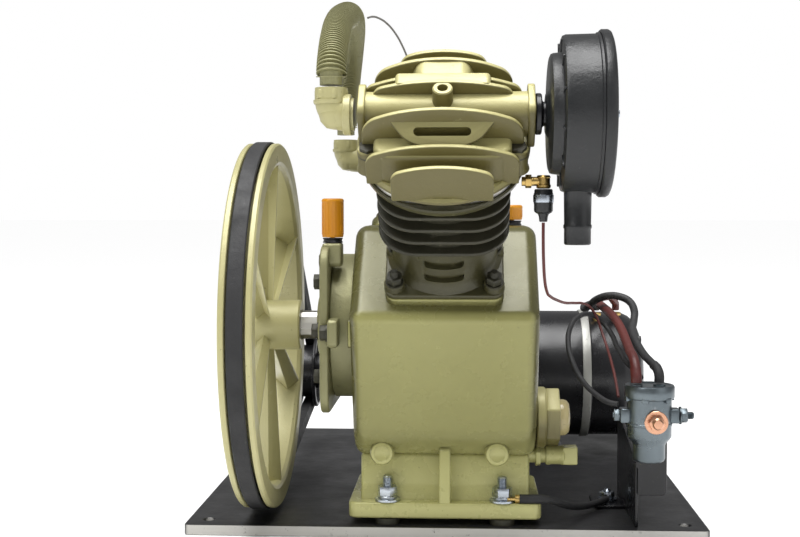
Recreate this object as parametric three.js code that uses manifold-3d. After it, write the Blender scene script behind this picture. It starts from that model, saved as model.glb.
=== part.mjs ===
// Belt-driven two-stage air compressor on its base plate. Millimetres, +Z up.
// The origin is the centre of the base plate's underside, and -Y is the front.
// Pump, motor and wiring are drawn in the pump's own frame: its origin lies on the crankshaft's axis, midway
// between the crankcase's side walls, with X along the shaft away from the flywheel.
// Each cylinder bank has a frame of its own: Z along the bore, away from the crankshaft.
import * as THREE from 'three';
import { mergeVertices } from 'three/addons/utils/BufferGeometryUtils.js';
import Module from 'manifold-3d';

const wasm = await Module();
wasm.setup();

// Driving dimensions
const gap = 0.3; // between pieces that rest on each other
const plate = { halfX: 245, front: -75, rear: 445, thick: 10, floor: -182, corner: 6 };
const bank = { tilt: Math.PI / 4, rearX: -22, seat: 100 };
const crank = { throw: 23, journal: 14, pin: 13, web: 14, counter: 58, rodGap: 2 };
const rod = { wide: 20, bigEnd: 24, smallEnd: 13, front: 78, rear: 60 };
const front = { bore: 40, deck: 228, headBase: 237.2, piston: 58 };
const rear = { bore: 26, deck: 198, headBase: 207.2, piston: 46 };
const crankcase = { halfX: 86, ridge: 98, ledge: 92, footTop: -161, footBottom: -176 };
const wheel = { centreX: -177, width: 30, radius: 178, rimInner: 155, hub: 24.5, hubEnd: -142, spokes: 6 };
const belt = { width: 15, outer: 179.5, pulleyOuter: 46, thick: 11 };
const motor = { y: 330, z: -89, radius: 76.5, shell: [-20, 160], end: 235, drive: -60, shaft: 9.5,
  posts: [[178, 300], [202, 306]] };
const port = { front: 34, rear: 30, radius: 19 };
const filter = { neck: 76.3, step: 86.5, can: 95.5, lid: 126.4, end: 137, radius: 64, lidRadius: 68 };
const contactor = { x: 186, y: -86, cap: -44, body: 20 };

// Materials, one per finish
const paint = (color, roughness, metalness) => new THREE.MeshStandardMaterial({ color, roughness, metalness });
const olive = paint(0x9a9568, 0.45, 0.1);
const oliveLight = paint(0xc9c48e, 0.45, 0.1);
const darkIron = paint(0x3b3a30, 0.6, 0.4);
const blackPaint = paint(0x17181a, 0.35, 0.2);
const blackPlastic = paint(0x202226, 0.5, 0);
const rubber = paint(0x121212, 0.8, 0);
const steel = paint(0xb9bcc0, 0.3, 0.9);
const zinc = paint(0xc4c9cf, 0.35, 0.8);
const brass = paint(0xc9a25a, 0.3, 0.9);
const copper = paint(0xc98a66, 0.35, 0.9);
const orange = paint(0xd08a1e, 0.4, 0);
const paper = paint(0xd8cfae, 0.9, 0);
const clear = paint(0xa8b4a0, 0.1, 0);
const red = paint(0x6b1f28, 0.6, 0);

// Solids from three.js geometry, and back
function solid(geometry) {
  const bare = geometry.clone();
  bare.deleteAttribute('normal');
  bare.deleteAttribute('uv');
  const merged = mergeVertices(bare, 1e-4);
  const at = merged.attributes.position.array;
  const all = merged.index.array;
  const faces = [];
  let volume = 0;
  for (let i = 0; i < all.length; i += 3) {
    const [a, b, c] = all.subarray(i, i + 3);
    if (a === b || b === c || c === a) continue;
    faces.push([a, b, c]);
    const [p, q, r] = [a, b, c].map((n) => new THREE.Vector3().fromArray(at, 3 * n));
    volume += p.dot(q.cross(r));
  }
  const order = volume < 0 ? [0, 2, 1] : [0, 1, 2];
  const triVerts = new Uint32Array(faces.flatMap((face) => order.map((n) => face[n])));
  return new wasm.Manifold(new wasm.Mesh({ numProp: 3, vertProperties: new Float32Array(at), triVerts }));
}

function geometryOf(body) {
  const mesh = body.getMesh();
  const geometry = new THREE.BufferGeometry();
  geometry.setAttribute('position', new THREE.BufferAttribute(new Float32Array(mesh.vertProperties), 3));
  geometry.setIndex(new THREE.BufferAttribute(new Uint32Array(mesh.triVerts), 1));
  geometry.computeVertexNormals();
  return geometry;
}

const join = (...pieces) => geometryOf(pieces.map(solid).reduce((a, b) => a.add(b)));
const cut = (piece, ...tools) => geometryOf(tools.map(solid).reduce((a, b) => a.subtract(b), solid(piece)));
const trim = (piece, keep) => geometryOf(solid(piece).intersect(solid(keep)));

// Basic shapes
function block(x0, x1, y0, y1, z0, z1) {
  const box = new THREE.BoxGeometry(x1 - x0, y1 - y0, z1 - z0);
  return box.translate((x0 + x1) / 2, (y0 + y1) / 2, (z0 + z1) / 2);
}

// A profile of [radius, height] points turned about an axis through the origin
function turned(profile, axis = 'z', sides = 20) {
  const points = profile.map(([r, h]) => new THREE.Vector2(r, h));
  const body = new THREE.LatheGeometry(points, sides);
  if (axis === 'x') return body.rotateZ(-Math.PI / 2);
  return axis === 'z' ? body.rotateX(Math.PI / 2) : body;
}

const rodOf = (axis, radius, from, to, sides = 14) =>
  turned([[0, from], [radius, from], [radius, to], [0, to]], axis, sides);

const ringOf = (axis, inner, outer, from, to, sides = 16) =>
  turned([[inner, from], [outer, from], [outer, to], [inner, to], [inner, from]], axis, sides);

function hexOf(axis, acrossFlats, from, to) {
  return rodOf(axis, acrossFlats / Math.sqrt(3), from, to, 6);
}

// A closed outline whose corners are rounded: points are [u, v, radius]
function outline(points) {
  const shape = new THREE.Shape();
  const at = points.map(([u, v]) => new THREE.Vector2(u, v));
  points.forEach(([u, v, radius = 0], i) => {
    const here = at[i];
    const before = at[(i + points.length - 1) % points.length].clone().sub(here).setLength(radius).add(here);
    const after = at[(i + 1) % points.length].clone().sub(here).setLength(radius).add(here);
    if (i) shape.lineTo(before.x, before.y);
    else shape.moveTo(before.x, before.y);
    if (radius) shape.quadraticCurveTo(u, v, after.x, after.y);
  });
  return shape;
}

const rounded = (halfU, halfV, radius) =>
  outline([[-halfU, -halfV, radius], [halfU, -halfV, radius], [halfU, halfV, radius], [-halfU, halfV, radius]]);

function prismZ(shape, z0, z1, curveSegments = 3) {
  return new THREE.ExtrudeGeometry(shape, { depth: z1 - z0, bevelEnabled: false, curveSegments }).translate(0, 0, z0);
}

// Outline in X and Z, run along Y
const prismY = (shape, y0, y1, curveSegments = 3) =>
  prismZ(shape, 0, y1 - y0, curveSegments).rotateX(Math.PI / 2).translate(0, y1, 0);

// Outline in Y and Z, run along X, with its end edges eased by a bevel if one is given
function prismX(shape, x0, x1, bevel = 0, curveSegments = 3) {
  const body = new THREE.ExtrudeGeometry(shape, {
    depth: x1 - x0 - 2 * bevel,
    bevelEnabled: bevel > 0,
    bevelSize: bevel,
    bevelOffset: -bevel,
    bevelThickness: bevel,
    bevelSegments: 2,
    curveSegments,
  });
  const turn = new THREE.Matrix4();
  turn.makeBasis(new THREE.Vector3(0, 1, 0), new THREE.Vector3(0, 0, 1), new THREE.Vector3(1, 0, 0));
  return body.applyMatrix4(turn).translate(x0 + bevel, 0, 0);
}

// A round tube along a smooth route of points
function tubeAlong(points, radius, sides, steps) {
  const section = new THREE.Shape();
  for (let i = 0; i < sides; i += 1) {
    const angle = (2 * Math.PI * i) / sides;
    if (i) section.lineTo(radius * Math.cos(angle), radius * Math.sin(angle));
    else section.moveTo(radius, 0);
  }
  const extrudePath = new THREE.CatmullRomCurve3(points.map((point) => new THREE.Vector3(...point)));
  return new THREE.ExtrudeGeometry(section, { steps, extrudePath });
}

function named(name, geometry, material) {
  const mesh = new THREE.Mesh(geometry, material);
  mesh.name = name;
  return mesh;
}

const footBolts = [
  ['front_left', -54, -56],
  ['front_right', 54, -56],
  ['rear_left', -54, 56],
  ['rear_right', 54, 56],
];

// The steel plate that carries everything, with holes for the pump's feet and four for its own bolts
function basePlate() {
  const { halfX, front: y0, rear: y1, thick, floor, corner } = plate;
  const middle = (y0 + y1) / 2;
  const sheet = prismZ(rounded(halfX, (y1 - y0) / 2, corner), floor - thick, floor).translate(0, middle, 0);
  const hole = (x, y, radius) => rodOf('z', radius, floor - thick - 1, floor + 1, 16).translate(x, y, 0);
  const corners = [-1, 1].flatMap((side) => [y0 + 22, y1 - 22].map((y) => hole(side * (halfX - 20), y, 5.5)));
  return cut(sheet, ...corners, ...footBolts.map(([, x, y]) => hole(x, y, 7)));
}

// The crankcase: an iron box with a ridge between two sloping seats, on a foot that flares out
function crankcaseBody() {
  const { halfX, ridge, ledge, footTop, footBottom } = crankcase;
  const slope = ledge * Math.SQRT2;
  const half = [[slope - ridge, ridge, 14], [112, 18, 14], [60, -122, 22], [50, -150, 0]];
  const side = outline([...half, ...half.toReversed().map(([y, z, r]) => [-y, z, r])]);
  const body = prismX(side, -halfX, halfX, 9);
  const foot = prismZ(rounded(90.5, 66, 8), footBottom, footTop);
  const skirt = outline([[66, footTop - 1], [-66, footTop - 1], [-46, -118], [46, -118]]);
  const rib = outline([[-66, footTop - 4, 3], [-58, -96, 3], [0, -96], [0, footTop - 4]]);
  const inner = [[slope - ridge - 4, ridge - 10, 12], [99, 14, 12], [50, -112, 18], [40, -138, 0]];
  const hollow = outline([...inner, ...inner.toReversed().map(([y, z, r]) => [-y, z, r])]);
  const lug = block(-halfX - 2.6, -halfX + 8, -92, -72, -13, 13);
  let shell = join(body, foot, prismX(skirt, -80, 80, 6), prismX(rib, -5.3, 5.3), lug);
  for (const x of [-59, 49]) shell = join(shell, rodOf('y', 11.5, -66, -40, 16).translate(x, 0, -115));
  for (const [turn, x] of [[bank.tilt, 0], [-bank.tilt, bank.rearX]]) {
    const seat = prismZ(rounded(53.5, 53.5, 10), 60, bank.seat - gap);
    shell = join(shell, seat.rotateX(turn).translate(x, 0, 0));
  }
  shell = join(cut(shell, prismX(hollow, -halfX + 8, halfX - 12)), rodOf('x', 40, halfX - 26, halfX - 4));
  for (const [turn, x] of [[bank.tilt, 0], [-bank.tilt, bank.rearX]]) {
    shell = cut(shell, rodOf('z', 41.5, 70, bank.seat + 4, 20).rotateX(turn).translate(x, 0, 0));
  }
  const tools = [rodOf('x', 66, -halfX - 4, -halfX + 12, 32), rodOf('x', 31.6, halfX - 28, halfX - 8, 24)];
  for (const [, x, y] of footBolts) {
    tools.push(rodOf('z', 7, footBottom - 1, footTop + 26, 12).translate(x, y, 0));
    tools.push(rodOf('z', 15, footTop, footTop + 46).translate(x, y * 1.02, 0));
  }
  tools.push(block(60, 100, -80, -48, footTop, footTop + 14));
  tools.push(rodOf('x', 8, halfX - 20, halfX + 2, 12).translate(0, -30, -121));
  tools.push(rodOf('x', 14, halfX - 20, halfX + 2, 16).translate(0, -36, -84));
  tools.push(rodOf('z', 6, ridge - 20, ridge + 12, 16).translate(64, 0, 0));
  return cut(shell, ...tools);
}

// The cover on the flywheel side, which carries a bearing and the oil filler
function bearingCover() {
  const face = prismX(rounded(77, 79, 22), -116, -108).translate(0, 0, 1);
  const drum = rodOf('x', 70, -108.5, -crankcase.halfX - gap, 32);
  const spigot = rodOf('x', 65.6, -88, -76, 32);
  const boss = turned([[0, -124], [30, -124], [34, -115], [0, -115]], 'x');
  const lug = block(-107, -98, -92, -60, -13, 13);
  const filler = block(-115, -97, -62, -38, 60, 82);
  const shell = join(face, drum, spigot, boss, lug, filler);
  const cutters = [rodOf('x', 15.2, -130, -70), rodOf('x', 31.6, -104, -70, 24), rodOf('x', 52, -92, -70, 24)];
  cutters.push(rodOf('z', 6, 30, 84, 16).translate(-106, -50, 0), rodOf('x', 6, -110, -70, 16).translate(0, -50, 34));
  return cut(shell, ...cutters);
}

function filler(height) {
  const neck = turned([[3, 0.2], [9, 0.2], [9, 5], [3, 5], [3, 0.2]], 'z', 16);
  const shank = [[0, -10], [2.4, -10], [2.4, 5.4], [0, 5.4]];
  const cap = [[0, 5.4], [10, 5.4], [10.4, height - 2], [8.6, height], [0, height]];
  return { neck, cap: join(turned(cap, 'z', 16), turned([...shank.slice(0, 3), [2.4, 8], [0, 8]], 'z', 8)) };
}

function bearing(from, to) {
  return turned([[14.5, from], [31, from], [31, to], [14.5, to], [14.5, from]], 'x', 24);
}

// Crankshaft: two journals, two webs with counterweights, and the pin that both rods share
function crankshaft() {
  const left = bank.rearX - rod.wide / 2 - crank.rodGap;
  const right = rod.wide / 2 + crank.rodGap;
  const web = (from, to) => {
    const cheek = prismX(outline([[-20, -10, 6], [20, -10, 6], [17, 38, 14], [-17, 38, 14]]), from, to);
    const weight = trim(rodOf('x', crank.counter, from, to, 24), block(-200, 200, -60, 60, -60, -4));
    return join(cheek, weight);
  };
  return join(
    rodOf('x', crank.journal, wheel.centreX - wheel.width / 2 + 0.5, left - 1),
    rodOf('x', crank.journal, right + 1, 78),
    web(left - crank.web, left),
    web(right, right + crank.web),
    rodOf('x', crank.pin, left - 1, right + 1).translate(0, 0, crank.throw),
  );
}

// A connecting rod in its bank's frame, hung on the pin; its small end stops short of the piston
function connectingRod(length) {
  const offset = crank.throw * Math.SQRT1_2;
  const half = rod.wide / 2;
  const body = join(
    rodOf('x', rod.bigEnd, -half, half),
    rodOf('x', rod.smallEnd, -half + 1, half - 1, 20).translate(0, 0, length),
    prismX(outline([[-15, 12], [15, 12], [8, length - 6], [-8, length - 6]]), -6, 6),
  );
  const bores = [rodOf('x', crank.pin + 0.5, -20, 20), rodOf('x', 7, -20, 20, 16).translate(0, 0, length)];
  return cut(body, ...bores).translate(0, offset, offset);
}

// A hollow piston with its ring lands; its crown is at the height that the pin's rest angle gives
function piston({ bore, deck, piston: height }) {
  const crown = deck - 2 - crank.throw + crank.throw * Math.SQRT1_2;
  const r = bore - 0.5;
  const lands = [6, 12].flatMap((drop) => [[r, crown - drop], [r - 2.5, crown - drop], [r - 2.5, crown - drop - 3],
    [r, crown - drop - 3]]);
  const bottom = crown - height;
  const skin = [[0, crown], [r - 1, crown], [r, crown - 1], ...lands, [r, bottom], [r - 6, bottom], [r - 8, crown - 9]];
  const body = turned([...skin, [0, crown - 9]], 'z', 18);
  return { body: cut(body, rodOf('x', 8.4, -60, 60, 12).translate(0, 0, crown - height / 2)), pin: crown - height / 2 };
}

const wristPin = (bore, height) => ringOf('x', 4, 8, -bore + 2, bore - 2, 12).translate(0, 0, height);

// A cylinder: square base flange, plain skirt with two windows, four square fins and a round top flange
function cylinder({ bore, deck }, half, finSize, finFrom, pitch) {
  const base = prismZ(rounded(half, half, 9), bank.seat, bank.seat + 9);
  const barrel = rodOf('z', bore + 8, bank.seat, deck - 2, 24);
  const skirt = prismZ(rounded(bore + 9, bore + 9, bore / 2), bank.seat + 8, finFrom);
  const top = turned([[0, deck - 8], [finSize + 12, deck - 8], [finSize + 13, deck], [0, deck]], 'z', 28);
  let body = join(base, barrel, skirt, top);
  for (let i = 0; i < 4; i += 1) {
    const at = finFrom + i * pitch;
    body = join(body, prismZ(rounded(finSize, finSize, finSize * 0.63), at, at + 4));
  }
  return cut(body, rodOf('z', bore, bank.seat - 5, deck + 5, 20));
}

const valvePlate = (from, to, radius, bore) =>
  cut(
    prismZ(rounded(radius, radius, radius * 0.75), from, to),
    rodOf('z', bore / 5, from - 1, to + 1, 12).translate(0, -bore / 2, 0),
    rodOf('z', bore / 6, from - 1, to + 1, 12).translate(0, bore / 2, 0),
  );

// A cooling fin on a head: flat sides and an arched top
function archedFin([y, height, half, drop], base) {
  const shape = new THREE.Shape();
  shape.moveTo(-half, 2);
  shape.lineTo(half, 2);
  shape.lineTo(half, height - drop);
  shape.quadraticCurveTo(0, height + drop, -half, height - drop);
  return prismY(shape, y - 2.2, y + 2.2, 5).translate(0, 0, base);
}

// A head: round flange, finned box over two chambers, and a port passage that runs across it
function head({ headBase: base }, flange, fins, box, portHeight, ends, bosses) {
  let body = turned([[0, base], [flange, base], [flange + 1, base + 1.5], [flange - 1, base + 5], [0, base + 5]], 'z', 28);
  body = join(body, prismZ(rounded(box.x, box.y, 16), base + 3, base + box.top));
  for (const fin of fins) body = join(body, archedFin(fin, base));
  body = join(body, rodOf('x', port.radius, ends[0], ends[1]).translate(0, 0, base + portHeight));
  for (const [from, to] of [[ends[0], ends[0] + 6], [ends[1] - 6, ends[1]]]) {
    const pad = prismX(rounded(20, portHeight - 10, 10), from, to).translate(0, 0, base + portHeight - 1);
    body = join(body, pad);
  }
  for (const [x, y] of bosses) body = join(body, rodOf('z', 8, base + 2, base + 25, 12).translate(x, y, 0));
  const chamber = (y0, y1) => block(-box.x + 10, box.x - 10, y0, y1, base - 1, base + box.top - 10);
  const portBore = (from, to) => rodOf('x', 10.5, from, to, 12).translate(0, 0, base + portHeight);
  body = cut(body, portBore(ends[0] - 1, -14), portBore(14, ends[1] + 1));
  const drop = (x, y) => block(x - 8, x + 8, Math.min(0, y), Math.max(0, y), base + 4, base + portHeight);
  return cut(body, chamber(-box.y + 8, -3), chamber(3, box.y - 8), drop(24, -16), drop(-24, 16));
}

const frontFins = [[-67, 38, 41, 8], [-47, 43, 62, 12], [-27, 64, 65.5, 15], [6, 65, 58, 9], [18, 61.5, 65, 13],
  [37, 63, 58, 15], [57, 55.5, 37, 8]];
const headBosses = [[-61, -30], [61, -30]];
const rearFins = [[-48, 30, 34, 7], [-31, 40, 50, 10], [-13, 50, 52, 11], [8, 52, 50, 9], [26, 50, 48, 11],
  [44, 40, 34, 8]];

// The elbow that turns a head's port upwards, with its ring nut, in the pump's frame
function elbow(y, z, from, x) {
  const path = (a, b) => [[a, 0, 0], [x + 14, 0, 0], [x + 4, 0, 4], [x, 0, 13], [x, 0, b]];
  const run = tubeAlong(path(from, 22), 11.5, 12, 8);
  const collar = ringOf('z', 7, 15, 12, 20, 16).translate(x, 0, 0);
  const collarX = rodOf('x', 14.5, from - 9, from - 2);
  const inner = tubeAlong(path(from + 2, 23), 7.5, 6, 8);
  return cut(join(run, collar, collarX), inner).translate(0, y, z);
}

const tubeEnds = { front: [-92, -192, 215], rear: [-114, 168.5, 195] };

// The finned pipe that arches over from one head to the other
function intercooler() {
  const [fx, fy, fz] = tubeEnds.front;
  const [rx, ry, rz] = tubeEnds.rear;
  const route = [[fx, fy, fz + 1], [fx, fy, fz + 12], [-92, -182, 242], [-92, -158, 262], [-92, -130, 276], [-91, -92, 287], [-90, -40, 295],
    [-93, 20, 292], [-99, 76, 279], [-106, 122, 254], [-111, 152, 228], [rx, ry, rz + 13], [rx, ry, rz + 1]];
  const outer = tubeAlong(route, 12.5, 10, 24);
  return cut(outer, tubeAlong(route, 8, 6, 24));
}

// Air filter: a flat can with a snorkel below, a pleated ring and a lid held by a centre nut
function filterBody() {
  const { neck, step, can, lid, radius } = filter;
  const wall = [[12, step - 2], [49, step], [49, can], [radius, can + 0.5], [radius + 1, lid - gap],
    [radius - 2, lid - gap], [radius - 3, can + 3], [12, can + 3], [12, step - 2]];
  const pipe = ringOf('x', 11, 17.5, neck + 7, step - 1);
  const snorkel = rodOf('z', 11, -radius - 43, -radius + 4).translate(110.5, 0, 0);
  const bore = rodOf('z', 8.5, -radius - 44, -radius + 6, 12).translate(110.5, 0, 0);
  return cut(join(turned(wall, 'x', 28), pipe, snorkel), bore, rodOf('x', 11, 60, 99, 20));
}

function filterLid() {
  const { lid, end, lidRadius } = filter;
  const rim = [[0, lid], [lidRadius - 1, lid], [lidRadius, lid + 1.5], [lidRadius, end - 4], [lidRadius - 4, end - 1],
    [30, end], [0, end - 1]];
  return join(turned(rim, 'x', 28), hexOf('x', 13, end - 2, end + 4), rodOf('x', 4, end + 2, end + 7, 12));
}

// Six fan blades between hub and rim push air over the cylinders
function flywheel() {
  const { centreX: cx, width, radius, rimInner, hub, hubEnd, spokes } = wheel;
  const left = cx - width / 2;
  const right = cx + width / 2;
  const floor = belt.outer - belt.thick - 2.5;
  const rim = turned([[rimInner, left + 3], [rimInner + 3, left], [radius, left], [radius, cx - 9.2], [floor, cx - 7.4],
    [floor, cx + 7.4], [radius, cx + 9.2], [radius, right], [rimInner + 3, right], [rimInner, right - 3],
    [rimInner, left + 3]], 'x', 40);
  let body = join(rim, rodOf('x', hub, left, hubEnd, 24));
  for (let i = 0; i < spokes; i += 1) {
    const taper = outline([[-5.5, 14, 0.5], [5.5, 14, 0.5], [13, rimInner + 3, 0.5], [-13, rimInner + 3, 0.5]]);
    const blade = prismZ(taper, -4, 4).rotateX(Math.PI / 2);
    const placed = blade.rotateZ(-0.45).translate(cx, 0, 0).rotateX((2 * Math.PI * i) / spokes);
    body = join(body, trim(placed, block(left + 1, right - 1, -radius, radius, -radius, radius)));
  }
  return cut(body, rodOf('x', crank.journal + gap, left - 2, hubEnd + 2));
}

// The loop round the flywheel and the motor's pulley
function beltLoop() {
  const reach = Math.hypot(motor.y, motor.z);
  const lean = Math.atan2(motor.z, motor.y);
  const loop = (big, small) => {
    const half = Math.acos((big - small) / reach);
    const path = new THREE.Path();
    path.absarc(0, 0, big, lean + half, lean - half + 2 * Math.PI, false);
    path.absarc(motor.y, motor.z, small, lean - half, lean + half, false);
    return path.getPoints(14);
  };
  const shape = new THREE.Shape(loop(belt.outer, belt.pulleyOuter));
  shape.holes.push(new THREE.Path(loop(belt.outer - belt.thick, belt.pulleyOuter - belt.thick)));
  return prismX(shape, wheel.centreX - belt.width / 2, wheel.centreX + belt.width / 2);
}

const atMotor = (geometry) => geometry.translate(0, motor.y, motor.z);

function motorPulley() {
  const cx = wheel.centreX;
  const floor = belt.pulleyOuter - belt.thick - 2.5;
  const face = belt.pulleyOuter - 1.5;
  const body = turned([[0, cx - 13], [face, cx - 13], [face, cx - 9.2], [floor, cx - 7.4], [floor, cx + 7.4],
    [face, cx + 9.2], [face, cx + 13], [22, cx + 13], [22, cx + 34], [0, cx + 34]], 'x', 24);
  return atMotor(cut(body, rodOf('x', motor.shaft + gap, cx - 20, cx + 40)));
}

// Armature, commutator and shaft
function motorRotor() {
  const [from, to] = motor.shell;
  return atMotor(turned([[0, wheel.centreX - 12], [motor.shaft, wheel.centreX - 12], [motor.shaft, from + 14],
    [48, from + 16], [48, to - 34], [24, to - 30], [24, to - 4], [motor.shaft, to - 2], [motor.shaft, 222],
    [0, 222]], 'x', 16));
}

function motorShell() {
  const [from, to] = motor.shell;
  const tube = ringOf('x', 70, motor.radius, from + gap, to - gap, 28);
  const pole = (turn) => block(from + 24, to - 40, -20, 20, 52, 72).rotateX(turn);
  return atMotor(join(tube, ...[0, 1, 2, 3].map((n) => pole((n * Math.PI) / 2 + Math.PI / 4))));
}

function driveBell() {
  const from = motor.drive;
  const to = motor.shell[0];
  const profile = [[10, from], [30, from], [34, from + 10], [66, from + 22], [74, from + 30], [76, to], [69, to],
    [66, from + 32], [28, from + 20], [26, from + 14], [10, from + 12], [10, from]];
  return atMotor(turned(profile, 'x', 24));
}

function endBell() {
  const from = motor.shell[1];
  const { end } = motor;
  const shell = turned([[69, from], [78, from], [78, from + 9], [76, from + 10], [75, end - 26], [64, end - 8],
    [40, end], [0, end], [0, end - 6], [38, end - 6], [60, end - 14], [69, end - 28], [69, from]], 'x', 24);
  const posts = motor.posts.map(([x, y]) => rodOf('z', 4, 60, 78, 12).translate(x, y - motor.y, 0));
  return atMotor(join(shell, ...posts));
}

// The saddle that holds the motor above the plate
function motorSaddle() {
  const { y, z, radius } = motor;
  const { floor } = plate;
  const foot = block(2, 138, y - 72, y + 72, floor, floor + 6);
  const cheek = (x) => block(x, x + 7, y - 52, y + 52, floor + 4, z - 30);
  const cradle = cut(join(foot, cheek(14), cheek(119)), rodOf('x', radius + 1, -30, 170, 32).translate(0, y, z));
  const slot = (x, dy) => rodOf('z', 5, floor - 2, floor + 8, 12).translate(x, y + dy, 0);
  return cut(cradle, slot(26, -62), slot(114, -62), slot(26, 62), slot(114, 62));
}

// An upright side plate with a foot and a front tab that the contactor is clamped to
function contactorBracket() {
  const { floor } = plate;
  const side = prismX(outline([[-64, floor], [74, floor], [74, floor + 89, 4], [-64, floor + 61, 4]]), 177, 180);
  const tab = block(177, 206, -64, -61, floor + 30, floor + 100);
  const foot = block(146, 178, 8, 58, floor, floor + 3);
  return cut(join(side, tab, foot), rodOf('z', 5, floor - 1, floor + 4, 12).translate(162, 32, 0));
}

function contactorBody() {
  const { cap, body } = contactor;
  const can = turned([[0, -115], [13, -115], [14.5, -112], [14.5, -98], [body, -92], [body, cap - 12],
    [body + 2.5, cap - 11], [body + 2.5, cap - 2], [body, cap], [0, cap]], 'z', 20);
  const lugs = join(block(-body - 7, 0, -7, 7, -80, -66), block(0, body + 7, -7, 7, -80, -66));
  const pad = block(-12, 12, body - 4, body + 1.2, -100, -60);
  return join(can, lugs, pad).translate(contactor.x, contactor.y, 0);
}

const frontStud = () => join(
  rodOf('y', 5, -contactor.body - 15, -contactor.body + 0, 16),
  rodOf('y', 10.5, -contactor.body - 3.5, -contactor.body - 1, 20),
  hexOf('y', 13, -contactor.body - 9, -contactor.body - 3),
).translate(contactor.x + 3, contactor.y - 0.6, -76);

const sideStud = () => join(
  rodOf('x', 3.5, contactor.body + 7.4, contactor.body + 20, 12),
  hexOf('x', 12, contactor.body + 8.5, contactor.body + 14),
).translate(contactor.x, contactor.y, -73);

// Bright stud, nut and washers at one corner of the pump's foot
function footBolt(x, y) {
  const { footTop, footBottom } = crankcase;
  const washer = rodOf('z', 12, footTop + gap, footTop + 3);
  const spacer = rodOf('z', 12, plate.floor + gap, footBottom - gap);
  const stud = rodOf('z', 5.6, plate.floor - 8, footTop + 24, 10);
  return join(washer, spacer, stud, hexOf('z', 19, footTop + 2.6, footTop + 13)).translate(x, y, 0);
}

// Routes of the free wires and cables, in the pump's frame
const wires = {
  switch_wire: { radius: 1.3, steps: 26, points: [[83, -185, 103], [83, -185, 90], [83.5, -183, 72], [85, -176, 55],
    [88, -160, 44], [93, -134, 38], [102, -98, 32], [112, -60, 27], [124, -22, 24], [134, -4, 22],
    [143, 10, 16], [149, 14, 6], [153, 10, -6], [156, -4, -18], [157.5, -24, -28], [158.5, -44, -38],
    [159, -62, -48], [159, -78, -57.5]] },
  loop_cable: { radius: 2.6, steps: 24, points: [[157.5, -88, -63], [150, -84, -62], [140, -74, -57], [129, -58, -47],
    [121, -38, -32], [118, -18, -15], [122, 2, -1], [131, 20, 7], [142, 33, 9], [152, 40, 5], [160, 40, -3],
    [165, 28, -11], [167, 6, -19], [169, -18, -25], [171, -40, -30], [174, -56, -33], [178, -68, -37],
    [180, -74, -40.7]] },
  red_cable: { radius: 4.4, steps: 24, points: [[173.5, -91, -42.9], [173.4, -90.5, -36], [173, -85, -27],
    [172.5, -74, -21], [172, -58, -18], [171.5, -36, -12], [170.5, -10, -4], [168, 18, 4], [164, 44, 10],
    [161, 70, 13], [160, 100, 14], [162, 136, 14], [167, 176, 13], [175, 216, 12], [184, 250, 11], [192, 276, 9],
    [198, 294, 3], [201.8, 305, -2], [202, 306, -8.6]] },
  black_cable: { radius: 3.8, steps: 30, points: [[194.5, -88, -43], [194.5, -87, -37], [193.5, -81, -31],
    [190, -68, -27], [186, -48, -22], [182, -22, -12], [182, 4, -4], [186, 22, 4], [187.5, 32, 13], [184, 40, 21],
    [175, 46, 25.5], [164, 52, 26], [154, 60, 22], [148, 74, 15], [146, 94, 10], [147, 128, 7], [150, 168, 5],
    [155, 208, 3], [162, 244, 2], [169, 270, 1], [174.5, 288, -3], [177.9, 299, -2], [178, 300, -8.6]] },
  ground_cable: { radius: 3.4, steps: 12, points: [[66.6, -61, -157], [76, -62, -157], [88, -61, -157],
    [100, -56, -159.5], [111, -46, -165], [122, -32, -170.5], [134, -16, -174], [145, -2, -175], [154, 10, -174.8],
    [160, 18, -174.4]] },
  link_wire: { radius: 1, steps: 12, points: [[-76, -6, 299], [-72, 0, 301], [-66, 12, 301], [-59, 30, 298],
    [-52, 50, 291], [-46, 70, 281], [-41, 86, 269], [-37, 100, 255], [-34, 110, 240], [-33, 116, 228]] },
};

// Everything in place
function frontBank() {
  const group = new THREE.Group();
  group.rotation.x = bank.tilt;
  const top = piston(front);
  group.add(
    named('front_cylinder', cylinder(front, 53.5, 57, 160, 14.5), darkIron),
    named('front_valve_plate', valvePlate(front.deck + gap, front.headBase - gap, 62, 40), steel),
    named('front_head', head(front, 72, frontFins, { x: 56, y: 52, top: 34 }, port.front, [-69, 75], headBosses),
      oliveLight),
    named('front_piston', top.body, steel),
    named('front_wrist_pin', wristPin(front.bore, top.pin), steel),
    named('front_rod', connectingRod(rod.front), steel),
  );
  return group;
}

function rearBank() {
  const group = new THREE.Group();
  group.rotation.x = -bank.tilt;
  group.position.x = bank.rearX;
  const top = piston(rear);
  const mirrored = (geometry) => geometryOf(solid(geometry.scale(1, -1, 1)));
  const cover = head(rear, 58, rearFins, { x: 44, y: 42, top: 28 }, port.rear, [-62, 62], []);
  group.add(
    named('rear_cylinder', cylinder(rear, 50, 44, 136, 13), darkIron),
    named('rear_valve_plate', valvePlate(rear.deck + gap, rear.headBase - gap, 50, 26), steel),
    named('rear_head', mirrored(cover), oliveLight),
    named('rear_piston', top.body, steel),
    named('rear_wrist_pin', wristPin(rear.bore, top.pin), steel),
    named('rear_rod', mirrored(connectingRod(rod.rear)), steel),
  );
  return group;
}

const portOf = (head, height) => (head.headBase + height) * Math.SQRT1_2;

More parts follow.
